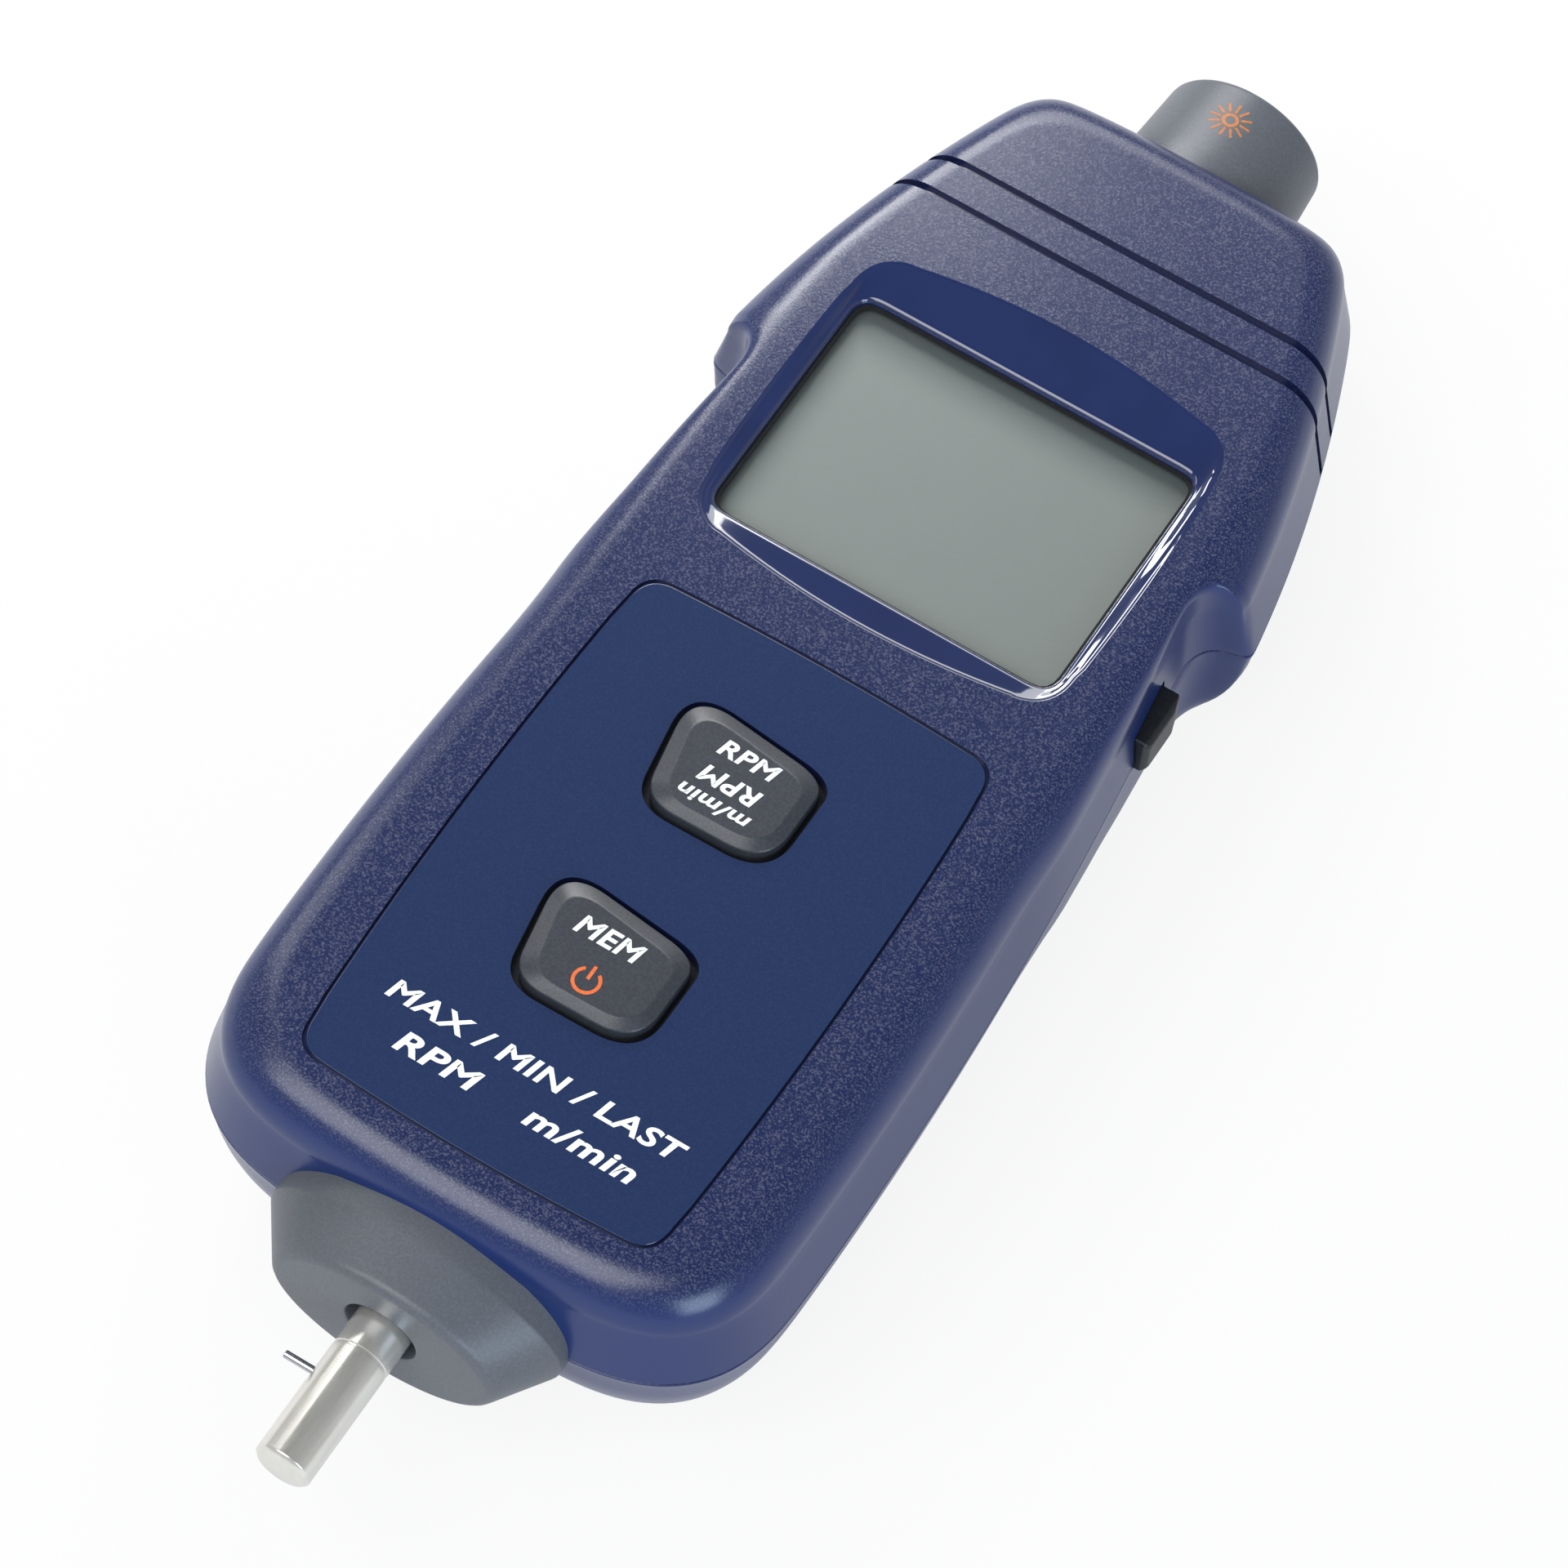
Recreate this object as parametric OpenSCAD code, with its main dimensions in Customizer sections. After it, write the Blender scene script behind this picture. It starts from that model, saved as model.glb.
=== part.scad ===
// Handheld contact and laser tachometer.
// Millimetres, +Y towards the laser nose, +Z out of the display, back on z = 0.

/* [Case] */
// widest part of the handle
body_w = 74.4; // [73:0.2:78]
// width across the finger guards
guard_w = 74.8; // [72:0.2:78]
// width at the notch below the guards
notch_w = 62.4; // [61:0.2:64]
// width of the head where its corners begin
head_w = 49.6; // [48:0.2:52]
// height of the case from back to face
body_h = 36; // [36:0.25:40]
// drop from the face to the parting line and the shaft axis
axis_drop = 14.6; // [14:0.1:15]
// distance from the middle to the head end
head_end = 93.8; // [93:0.2:95]
// distance from the middle to the foot end
foot_end = 78.4; // [78:0.2:80]
// place of the finger guards along the body
guard_y = 41.2; // [40:0.2:43]
// width of the face edge, with the lean of the wall
shoulder = 7.4; // [6:0.2:8]
// lean of the upper wall
draft = 1.8; // [0.8:0.1:2]
// width of the rounded back edge
under = 16; // [14:0.2:17]
// thickness of the case wall
wall = 2; // [1.6:0.1:2.4]
// depth of the parting groove
seam = 0.35; // [0.1:0.05:0.5]
// width of the two grooves across the head
groove_w = 1; // [0.5:0.1:1.5]
// depth of the two grooves across the head
groove_d = 0.6; // [0.3:0.1:0.9]

/* [Display] */
// width of the display opening
lcd_w = 46.2; // [40:0.2:47]
// height of the display opening
lcd_h = 34.5; // [30:0.5:36]
// place of the display along the body
lcd_y = 34.4; // [33.5:0.1:35.5]
// drop of the glossy surround
bevel = 1; // [0.6:0.1:1.2]
// thickness of the clear window
window_t = 1; // [0.6:0.1:1.4]
// thickness of the display glass
glass_t = 1.8; // [1.2:0.1:2.2]

/* [Keys] */
// place of the upper key along the body
mode_y = -13.4; // [-14:0.1:-12]
// place of the lower key along the body
memory_y = -40.6; // [-42:0.1:-40]
// height of a key above the face
key_rise = 1.6; // [0.8:0.1:2]
// travel of a key
key_travel = 0.6; // [0.3:0.1:0.8]
// gap around a key
key_gap = 0.5; // [0.3:0.05:0.7]
// length of the face overlay at its corners
overlay_h = 72.4; // [66:0.2:73]
// width of the face overlay at its corners
overlay_w = 46.6; // [40:0.2:48]
// thickness of the face overlay
overlay_t = 0.5; // [0.3:0.1:0.7]
// groove around the face overlay
overlay_gap = 0.35; // [0.2:0.05:0.5]
// length of the side button
side_l = 8.4; // [6:0.2:9]
// height of the side button
side_h = 6.2; // [5:0.2:6.4]
// reach of the side button beyond the notch
side_out = 3.2; // [2:0.1:3.6]
// travel of the side button
side_travel = 1; // [0.5:0.1:1.1]
// clearance around the side button
side_gap = 0.35; // [0.3:0.05:0.5]

/* [Nose and shaft] */
// radius of the nose barrel at the case
nose_r = 11.4; // [10.9:0.1:11.8]
// radius of the nose barrel at its front
nose_tip_r = 10.65; // [10.3:0.05:11]
// length of the part in front of and behind the middle
half_length = 105; // [104:0.5:107]
// bore of the nose barrel
nose_bore = 9.2; // [8.8:0.1:9.4]
// half width of the collar at the case
collar_w = 19.1; // [18:0.1:20]
// half height of the collar at the case
collar_h = 11; // [10.5:0.1:11.2]
// half width of the collar at its front
collar_tip_w = 14.6; // [13:0.1:16]
// reach of the collar from the middle
collar_reach = 86.2; // [85.5:0.1:87]
// radius of the measuring shaft
shaft_r = 3.5; // [3:0.05:3.6]
// radius of the hole around the shaft
collar_bore = 4.6; // [4.4:0.1:5]
// outer radius of a bearing
bearing_r = 7; // [6.6:0.1:7.4]
// length of a bearing
bearing_l = 5; // [4:0.2:5.2]
// running gap between bearing rings
ring_gap = 0.2; // [0.1:0.05:0.3]
// radius of the slotted disc
disc_r = 11; // [9.6:0.2:11.6]
// slots in the slotted disc
disc_slots = 16; // [8:1:20]
// radius of the cross pin
pin_r = 0.48; // [0.3:0.02:0.6]
// reach of the cross pin from the axis
pin_out = 7.3; // [5:0.1:9]

/* [Battery bay] */
// diameter of a cell
cell_d = 14.2; // [13.6:0.1:14.4]
// length of a cell with its button
cell_l = 50; // [48:0.1:50.5]
// distance between neighbouring cells
cell_pitch = 14.6; // [14.5:0.05:14.7]
// half width of the battery cover
door_w = 26; // [25.6:0.1:26.2]
// thickness of the battery cover
door_t = 4.2; // [3.8:0.1:4.4]
// clearance around the battery cover
door_gap = 0.3; // [0.25:0.05:0.45]

/* [Hidden] */
$fn = 48;
edge_z = body_h - 6.2;
roof = body_h - wall;
lip_z = body_h - bevel - 0.6;
axis_z = body_h - axis_drop;
board_z = body_h - 10.4;
board_top = board_z + 1.6;
cav_x = notch_w / 2 - wall;
mid_y = 3.6;
bay_x = 27.4;
bay_y = -26.3;
bay_l = 4 * cell_pitch + 0.7;
bay_top = door_t + cell_d + 1.2;
floor_z = door_t + 2.2;
rail_z = door_t - 1.6;
disc_y = -60.4;
rear_y = -68;
front_y = -78.5 - bearing_l;
seat_z = 6;
rise = axis_z - 0.4;
tip_y = half_length + 0.7;
pin_y = -94;
lens_back = half_length - 3.6;
holder_y = lens_back - 12.4;
sensor_y = 78;
screw_top = roof - 4.5;
board_screw_top = roof - 3;
posts = [[18, 76], [-18, 76], [24, 9.5], [-24, 9.5], [22, -64], [-22, -64]];
board_posts = [[21, 61], [-21, 61], [21, -46], [-21, -46]];
cells = [for (i = [0:3]) bay_y + (i - 1.5) * cell_pitch];
side_y = guard_y - 14.8;
side_z = axis_z + 1.5;

// points of a quadratic curve from a to b, pulled towards c
function bez(a, c, b, n) =
  [for (i = [0:n]) let(t = i / n) a * (1 - t) * (1 - t) + 2 * c * t * (1 - t) + b * t * t];

// half width of the handle and of the head at the parting line
function handle_x(y) = body_w / 2 - (body_w - notch_w) / 2 * pow((y + 45) / (guard_y + 39), 2);
function head_x(y) =
  let(s = (head_end - 6 - y) / (head_end - 7.8 - guard_y))
  head_w / 2 + (guard_w / 2 - 0.2 - head_w / 2) * (1.5 * s - 0.5 * s * s);

// half width with the notch bridged, set in by d
function plain_x(y, d) =
  y < -10 ? handle_x(y) - d :
  y > 56 ? head_x(y) - d :
  handle_x(-10) - d + (head_x(56) - handle_x(-10)) * (y + 10) / 66;

function mirrored(half) =
  let(n = len(half))
  concat(half, [for (i = [n - 2:-1:1]) [-half[i][0], half[i][1]]]);

// outline at the parting line, with guards and notches
function full_rim() =
  let(e = head_end, f = -foot_end, g = guard_y, h = head_end - 7, w = guard_w / 2, n = notch_w / 2)
  mirrored(concat(
    [[0, e], [7, e - 0.1], [13.5, e - 0.35]],
    bez([18, e - 0.7], [22.6, e - 1.2], [head_x(h), h], 4),
    [for (i = [1:6]) let(y = h - (h - g - 3.2) * i / 6) [head_x(y), y]],
    bez([head_x(g + 2), g + 2], [w + 0.3, g + 0.3], [w - 2, g - 0.1], 3),
    bez([w - 3.6, g - 0.5], [n - 0.1, g - 1.2], [n, g - 6.2], 4),
    [for (i = [1:8]) let(y = g - 6.2 - (g + 51.8) * i / 8) [handle_x(y), y]],
    bez([handle_x(f + 18.4), f + 18.4], [body_w / 2 - 1, f + 2.2], [19.5, f + 0.75], 6),
    [[13, f + 0.35], [6.5, f + 0.1], [0, f]]));

// outline with the notches bridged, set in by d, point for point with full_rim
function plain_rim(d) =
  let(e = head_end - d, f = d - foot_end, g = guard_y, h = head_end - 7 - 0.9 * d)
  mirrored(concat(
    [[0, e], [6.5, e - 0.1], [12.5 - 0.2 * d, e - 0.3]],
    bez([17.4 - 0.5 * d, e - 0.6], [22.6 - 0.6 * d, e - 1], [plain_x(h, d), h], 4),
    [for (i = [1:6]) let(y = h - (h - g - 6) * i / 6) [plain_x(y, d), y]],
    [for (i = [0:8]) let(y = g + 5 - 1.6 * i) [plain_x(y, d), y]],
    [for (i = [1:8]) let(y = g - 8 - (g - 26 - f + 0.4 * d) * i / 8) [plain_x(y, d), y]],
    bez([plain_x(f + 17 - 0.4 * d, d), f + 17 - 0.4 * d],
      [body_w / 2 - 1 - d, f + 2.2], [19.3 - 0.35 * d, f + 0.75], 6),
    [[12.8 - 0.2 * d, f + 0.35], [6.4, f + 0.1], [0, f]]));

// inner outline, held inside the notches
function inner_rim(d) =
  let(c = cav_x - 0.3 * max(d - wall, 0))
  [for (p = plain_rim(d)) p[1] > 14 && p[1] < 50 ? [max(-c, min(c, p[0])), p[1]] : p];

// smaller of two lengths, rounded over k
function smin(a, b, k) = let(h = max(k - abs(a - b), 0) / k) min(a, b) - h * h * k / 4;

// half width of the body before the scoops below the guards are cut
function body_x(y) =
  let(g = guard_y + 1.8)
  y > g ? head_x(y) : plain_x(y, 0) + (head_x(g) - plain_x(g, 0)) * pow(max(y + 10, 0) / (g + 10), 3);

// cross section on the way from q to t; the scoops stay upright up to the rounded edge
function section(p, q, t, lean, d, s) =
  [for (i = [0:len(p) - 1]) let(x = abs(p[i][0]), y = p[i][1], b = body_x(y) - lean)
    y < -10 || y > 60 ? q[i] + (t[i] - q[i]) * s :
    let(k = max(min(2, b + lean - x), 0.01), m = smin(x - lean / 2, b + (plain_x(y, d) - b) * s, k))
    [p[i][0] < 0 ? -m : m, y]];

// outline moved inwards by d along its own normals
function inset(q, d) =
  let(n = len(q))
  [for (i = [0:n - 1])
    let(t = q[(i + 1) % n] - q[(i + n - 1) % n])
    q[i] + d * [t[1], -t[0]] / norm(t)];

function lift(q, z) = [for (p = q) [p[0], p[1], z]];
function mix(a, b, t) = [for (i = [0:len(a) - 1]) a[i] + (b[i] - a[i]) * t];

// side faces between ring k and ring k + 1 of n points, from point s on
function sides(n, m, s) =
  [for (k = [0:m - 2], i = [0:n - 1]) let(a = s + k * n, j = (i + 1) % n)
    each [[a + i, a + j, a + n + i], [a + n + i, a + j, a + n + j]]];

function flip(f) = [for (q = f) [for (i = [len(q) - 1:-1:0]) q[i]]];

// closed solid through a stack of outlines, lowest first
module loft(rings) {
  n = len(rings[0]);
  m = len(rings);
  polyhedron(
    points = [for (r = rings) each r],
    faces = concat(
      sides(n, m, 0),
      [[for (i = [n - 1:-1:0]) i], [for (i = [0:n - 1]) (m - 1) * n + i]]));
}

// case half: outer and inner outlines, both starting at the parting line
module shell(outer, inner, up) {
  n = len(outer[0]);
  m = len(outer);
  q = len(inner);
  c = m * n;
  f = concat(
    sides(n, m, 0),
    flip(sides(n, q, c)),
    [[for (i = [0:n - 1]) (m - 1) * n + i], [for (i = [n - 1:-1:0]) c + (q - 1) * n + i]],
    [for (i = [0:n - 1]) let(j = (i + 1) % n) each [[j, i, c + i], [j, c + i, c + j]]]);
  polyhedron(points = [for (r = concat(outer, inner)) each r], faces = up ? f : flip(f));
}

top_rings =
  let(p = full_rim(), t = plain_rim(shoulder), q = inset(p, draft))
  concat(
    [lift(inset(p, seam), axis_z), lift(p, axis_z + 0.25)],
    [for (a = [0, 20, 40, 60, 78])
      lift(section(p, q, t, draft, shoulder, 1 - cos(a)), edge_z + 6.2 * sin(a))],
    [lift(section(p, q, t, draft, shoulder, 1), body_h)]);

back_rings =
  let(p = full_rim(), t = plain_rim(under), q = inset(p, 0.3))
  concat(
    [lift(inset(p, seam), axis_z), lift(p, axis_z - 0.25)],
    [for (a = [12, 26, 40, 54, 68, 80]) lift(section(p, q, t, 0.3, under, 1 - cos(a)), rise * (1 - sin(a)))],
    [lift(section(p, q, t, 0.3, under, 1), 0)]);

// outlines a distance w inside the back, from the parting line down
function back_wall(w) =
  concat(
    [lift(inner_rim(w), axis_z)],
    [for (a = [15, 35, 55, 75]) let(n = norm([rise * cos(a), under * sin(a)]))
      lift(inner_rim(0.3 + under * (1 - cos(a)) + w * rise * cos(a) / n),
        rise * (1 - sin(a)) + w * under * sin(a) / n)],
    [lift(inner_rim(under + 0.3), w)]);

function upward(rings) = [for (i = [len(rings) - 1:-1:0]) rings[i]];

module top_shell()
  shell(top_rings, [lift(inner_rim(wall), axis_z), lift(inner_rim(wall + draft), edge_z - 1),
    lift(inner_rim(wall + draft + 1.5), roof - 1.6), lift(inner_rim(shoulder), roof)], true);

module back_shell()
  shell(back_rings, back_wall(wall), false);

// groove across the head at y, following its cross section
module head_groove(y) {
  w = head_x(y) - draft - groove_d;
  r = shoulder - draft;
  translate([0, y + groove_w / 2, 0]) rotate([90, 0, 0]) linear_extrude(groove_w) difference() {
    translate([-50, axis_z + 0.5]) square([100, body_h]);
    polygon(concat(
      [[-w - draft, 0], [-w - draft, axis_z]],
      [for (a = [0:15:90]) [-w + r * (1 - cos(a)), edge_z + (6.2 - groove_d) * sin(a)]],
      [for (a = [90:-15:0]) [w - r * (1 - cos(a)), edge_z + (6.2 - groove_d) * sin(a)]],
      [[w + draft, axis_z], [w + draft, 0]]));
  }
}

module box(x0, x1, y0, y1, z0, z1)
  translate([x0, y0, z0]) cube([x1 - x0, y1 - y0, z1 - z0]);

module slab(points, z0, z1)
  translate([0, 0, z0]) linear_extrude(z1 - z0) polygon(points);

module rod_y(r, y0, y1, x = 0, z = axis_z)
  translate([x, y0, z]) rotate([-90, 0, 0]) cylinder(r = r, h = y1 - y0);

module rod_x(r, x0, x1, y, z)
  translate([x0, y, z]) rotate([0, 90, 0]) cylinder(r = r, h = x1 - x0);

module peg(p, r, z0, z1)
  translate([p[0], p[1], z0]) cylinder(r = r, h = z1 - z0, $fn = 32);

module oval_y(a, b, y0, y1)
  translate([0, y0, axis_z]) scale([a / b, 1, 1]) rotate([-90, 0, 0]) cylinder(r = b, h = y1 - y0, $fn = 64);

// rectangle with bowed sides: top and bottom bows differ
function bowed(w, y0, y1, sx, s0, s1, r) =
  let(a = w / 2, m = (y0 + y1) / 2, b = (y1 - y0) / 2)
  mirrored(concat(
    [for (i = [0:3]) let(x = (a - r) * i / 3) [x, y1 + s1 * (1 - pow(x / a, 2))]],
    bez([a - r, y1 + s1 * (1 - pow((a - r) / a, 2))] + [r * 0.15, -0.03],
      [a + sx * 0.05, y1], [a + sx * 0.1, y1 - r], 4),
    [for (i = [1:7]) let(y = y1 - r - (2 * b - 2 * r) * i / 8) [a + sx * (1 - pow((y - m) / b, 2)), y]],
    bez([a + sx * 0.1, y0 + r], [a + sx * 0.05, y0],
      [a - r, y0 - s0 * (1 - pow((a - r) / a, 2))] + [r * 0.15, 0.03], 4),
    [for (i = [3:-1:0]) let(x = (a - r) * i / 3) [x, y0 - s0 * (1 - pow(x / a, 2))]]));

function aperture() = bowed(lcd_w, lcd_y - lcd_h / 2, lcd_y + lcd_h / 2, 0.02, 0.02, 0.02, 3);
function surround() = bowed(lcd_w + 3, lcd_y - lcd_h / 2 - 2, lcd_y + lcd_h / 2 + 5, 0.7, 2.8, 3.4, 5);
function overlay(g) =
  bowed(overlay_w + 2 * g, -31.6 - overlay_h / 2 - g, -31.6 + overlay_h / 2 + g, 1.2, 0.9, 0.7, 4);

// key outline: skewed, widest at its upper left
function key_rim(y, g) =
  let(c = [[-10.9 - g, y + 8 + g], [8.8 + g, y + 6 + g], [8.7 + g, y - 7.5 - g], [-8.3 - g, y - 7.8 - g]],
    r = [0.32, 0.2, 0.34, 0.24])
  [for (i = [0:3]) let(p = c[(i + 3) % 4], n = c[(i + 1) % 4])
    each bez(c[i] + (p - c[i]) * r[i] * 1.1, c[i], c[i] + (n - c[i]) * r[i], 6)];

module top_case() color("#353f68") difference() {
  union() {
    top_shell();
    for (p = posts) peg(p, 2.9, axis_z, roof + 0.2);
    for (p = board_posts) peg(p, 2.4, board_top, roof + 0.2);
  }
  for (p = posts) peg(p, 1.25, axis_z - 1, screw_top + 0.5);
  for (p = board_posts) peg(p, 1, board_top - 1, board_screw_top + 0.5);
  hull() {
    slab(surround(), body_h, body_h + 0.05);
    slab(aperture(), body_h - bevel, body_h - bevel + 0.05);
  }
  slab(aperture(), board_top, body_h);
  box(-25, 25, lcd_y - 19.25, lcd_y + 19.25, roof - 2, lip_z);
  slab(overlay(overlay_gap), body_h - overlay_t, body_h + 1);
  slab(key_rim(mode_y, key_gap), roof - 1, body_h);
  slab(key_rim(memory_y, key_gap), roof - 1, body_h);
  head_groove(73.7);
  head_groove(68.4);
  rod_y(nose_r + 0.1, 80, 110);
  oval_y(collar_w, collar_h, -95, -70);
  side_slot();
}

// screws under the battery cover sit deeper than the others
function seat_at(p) = p[1] < 0 ? door_t + 3.3 : seat_z;

module side_slot()
  box(20, 45, side_y - side_l / 2 - side_gap, side_y + side_l / 2 + side_gap,
    side_z - side_h / 2 - side_gap, side_z + side_h / 2 + side_gap);

module bottom_case() color("#303a62") difference() {
  union() {
    back_shell();
    intersection() {
      loft(upward(back_wall(wall / 2)));
      union() {
        box(-bay_x - 1.6, bay_x + 1.6, bay_y - bay_l / 2 - 1.5, bay_y + bay_l / 2 + 1.5, 0, bay_top + 1.6);
        box(-33, 33, -78, bay_y - bay_l / 2 - 1, 0, floor_z);
        for (p = posts) peg(p, 3.7, 0, axis_z + 1);
      }
    }
  }
  box(-bay_x, bay_x, bay_y - bay_l / 2, bay_y + bay_l / 2, rail_z + 0.4, bay_top);
  box(-door_w - door_gap, door_w + door_gap, -95, mid_y + door_gap, -1, rail_z + 0.1);
  box(-door_w - 1.3 - door_gap, door_w + 1.3 + door_gap, -95, mid_y + door_gap, rail_z, door_t + door_gap);
  for (p = posts) peg(p, 1.5, -1, axis_z + 1);
  for (p = posts) peg(p, 2.9, -1, seat_at(p));
  rod_y(nose_r + 0.1, 80, 110);
  oval_y(collar_w, collar_h, -95, -70);
  side_slot();
}

module battery_door() color("#303a62") difference() {
  intersection() {
    loft(upward(back_rings));
    union() {
      box(-door_w, door_w, -95, mid_y, -1, door_t);
      box(-door_w - 1.3, door_w + 1.3, -95, mid_y, rail_z + door_gap, door_t);
    }
  }
  box(-door_w + 2.6, door_w - 2.6, -57, mid_y - 2.4, 2, door_t + 1);
  for (i = [0:6]) box(-10, 10, -60 + 2.4 * i, -58.9 + 2.4 * i, -1, 0.6);
}

module panel_overlay() color("#27305a") difference() {
  slab(overlay(0), body_h - overlay_t, body_h);
  slab(key_rim(mode_y, key_gap), body_h - 2, body_h + 1);
  slab(key_rim(memory_y, key_gap), body_h - 2, body_h + 1);
}

module key(y) {
  slab(key_rim(y, 0), roof - 1, body_h + key_rise - 0.9);
  hull() {
    slab(key_rim(y, 0), body_h + key_rise - 1, body_h + key_rise - 0.9);
    slab(key_rim(y, -1.5), body_h + key_rise - 0.1, body_h + key_rise);
  }
  slab(key_rim(y, 1.3), roof - 1.6, roof - 0.4);
  peg([0, y], 2, board_top + 3.5 + key_travel, roof - 1.5);
}

module mode_key() color("#46494e") key(mode_y);

module memory_key() color("#46494e") key(memory_y);

module measure_button() color("#26292e") {
  hull() {
    box(cav_x - 0.6, notch_w / 2 + side_out - 0.7, side_y - side_l / 2, side_y + side_l / 2,
      side_z - side_h / 2, side_z + side_h / 2);
    box(cav_x - 0.6, notch_w / 2 + side_out, side_y - side_l / 2 + 0.5, side_y + side_l / 2 - 2,
      side_z - side_h / 2 + 0.6, side_z + side_h / 2 - 0.6);
  }
  box(cav_x - 1.5, cav_x - 0.4, side_y - side_l / 2 - 1.2, side_y + side_l / 2 + 1.2,
    side_z - side_h / 2 - 0.8, side_z + side_h / 2 + 0.8);
}

module display_gasket() color("#141517") difference() {
  box(-25, 25, lcd_y - 19.25, lcd_y + 19.25, lip_z - 0.4, lip_z);
  slab(bowed(lcd_w - 0.8, lcd_y - lcd_h / 2 + 0.4, lcd_y + lcd_h / 2 - 0.4, 0.02, 0.02, 0.02, 2.6),
    lip_z - 1, lip_z + 1);
}

module display_window() color("#c9d2d2", 0.3)
  box(-25, 25, lcd_y - 19.25, lcd_y + 19.25, lip_z - 0.4 - window_t, lip_z - 0.4);

module display_glass() color("#8b958f")
  box(-24.8, 24.8, lcd_y - 19, lcd_y + 19, lip_z - 0.4 - window_t - glass_t, lip_z - 0.4 - window_t);

module display_frame() color("#d8dad6") difference() {
  box(-26.2, 26.2, lcd_y - 20.5, lcd_y + 20.5, board_top, roof);
  box(-25, 25, lcd_y - 19.25, lcd_y + 19.25, board_top - 1, roof + 1);
}

module contact_strips() color("#d79aa0")
  for (s = [-1, 1])
    box(-22, 22, lcd_y + 17 * s - 1.2, lcd_y + 17 * s + 1.2, board_top,
      lip_z - 0.4 - window_t - glass_t);

module main_board() color("#2f6b45") difference() {
  union() {
    box(-24, 24, -50, 66, board_z, board_top);
    box(-26.2, 26.2, lcd_y - 20.5, lcd_y + 20.5, board_z, board_top);
  }
  for (p = board_posts) peg(p, 1.15, board_z - 1, board_top + 1);
  for (p = posts) peg(p, 3.4, board_z - 1, board_top + 1);
}

module board_parts() color("#202225") {
  box(-7, 7, 28, 42, board_z - 1.8, board_z);
  box(-15, -9, 30, 34, board_z - 3.2, board_z);
  box(10, 18, 44, 49, board_z - 2.4, board_z);
  peg([14, 36], 3, board_z - 4.5, board_z);
  peg([-14, 48], 2.5, board_z - 4, board_z);
}

module key_switches() color("#17181a")
  for (y = [mode_y, memory_y]) {
    box(-3, 3, y - 3, y + 3, board_top, board_top + 2);
    peg([0, y], 1.75, board_top + 1.9, board_top + 3.1);
  }

module measure_switch() color("#17181a") {
  box(19.5, 24, side_y - 3, side_y + 3, side_z - 2.2, board_z);
  rod_x(1.2, 23.9, cav_x - 1.9 - side_travel, side_y, side_z - 0.2);
}

module nose_barrel() color("#54575b")
  translate([0, 0, axis_z]) rotate([-90, 0, 0]) rotate_extrude($fn = 64)
    polygon([[nose_bore, 84], [nose_r + 0.1, 84], [nose_r + 0.1, head_end - 0.4], [nose_r, head_end],
      [nose_tip_r, half_length - 0.5], [nose_tip_r - 0.15, half_length - 0.15],
      [nose_tip_r - 0.5, half_length], [nose_bore + 0.2, half_length], [nose_bore, half_length - 0.2]]);

module nose_lens() color("#7c1f24", 0.5)
  rod_y(nose_bore, lens_back, lens_back + 1.8);

module sensor_holder() color("#1b1c1e") difference() {
  rod_y(nose_bore, holder_y, holder_y + 8);
  rod_y(3.6, holder_y - 1, holder_y + 9, 0, axis_z + 4.4);
  rod_y(2.9, holder_y - 1, holder_y + 9, 0, axis_z - 5);
}

module laser_module() color("#b08d4a") difference() {
  rod_y(3.6, sensor_y, holder_y + 10, 0, axis_z + 4.4);
  rod_y(2, holder_y + 8, holder_y + 11, 0, axis_z + 4.4);
}

module photo_sensor() color("#3a2d33") {
  rod_y(2.9, holder_y - 0.5, holder_y + 7, 0, axis_z - 5);
  for (s = [-1, 1]) rod_y(0.35, sensor_y, holder_y, s * 1.27, axis_z - 5);
}

module sensor_board() color("#2f6b45")
  box(-11, 11, sensor_y - 1.6, sensor_y, axis_z - 10, axis_z + 9);

module shaft_collar() color("#54575b") difference() {
  union() {
    hull() {
      oval_y(collar_w, collar_h, -79.3, -78.4);
      oval_y(collar_tip_w + 0.25, collar_h - 0.5, 0.9 - collar_reach, 1 - collar_reach);
      oval_y(collar_tip_w - 0.75, collar_h - 1.5, -collar_reach, 0.1 - collar_reach);
    }
    oval_y(collar_w, collar_h, -79, -74);
  }
  rod_y(collar_bore, -90, -70);
  rod_y(bearing_r, front_y, -70);
}

module bearing_block() color("#3d4045") difference() {
  box(-10, 10, rear_y - 1.2, rear_y + bearing_l - 0.2, floor_z, axis_z + 9);
  rod_y(bearing_r, rear_y, -60);
  rod_y(5.6, -75, -60);
}

module bearing_outer_rings() color("#b9bcc0")
  for (y = [front_y, rear_y]) difference() {
    rod_y(bearing_r, y, y + bearing_l);
    rod_y(5.1, y - 1, y + bearing_l + 1);
  }

module bearing_inner_rings() color("#c6c9cc")
  for (y = [front_y, rear_y]) difference() {
    rod_y(5.1 - ring_gap, y, y + bearing_l);
    rod_y(shaft_r, y - 1, y + bearing_l + 1);
  }

module drive_shaft() color("#c9c9c6") difference() {
  translate([0, 0, axis_z]) rotate([-90, 0, 0]) rotate_extrude()
    polygon([[0, -tip_y], [shaft_r - 0.43, -tip_y], [shaft_r, 0.43 - tip_y],
      [shaft_r, -90.5], [shaft_r - 0.12, -90.4], [shaft_r - 0.12, -90.1], [shaft_r, -90],
      [shaft_r, -58], [0, -58]]);
  rod_x(pin_r, -10, -1, pin_y, axis_z);
}

module drive_pin() color("#cfcfcc")
  rod_x(pin_r, -pin_out, -1, pin_y, axis_z);

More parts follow.
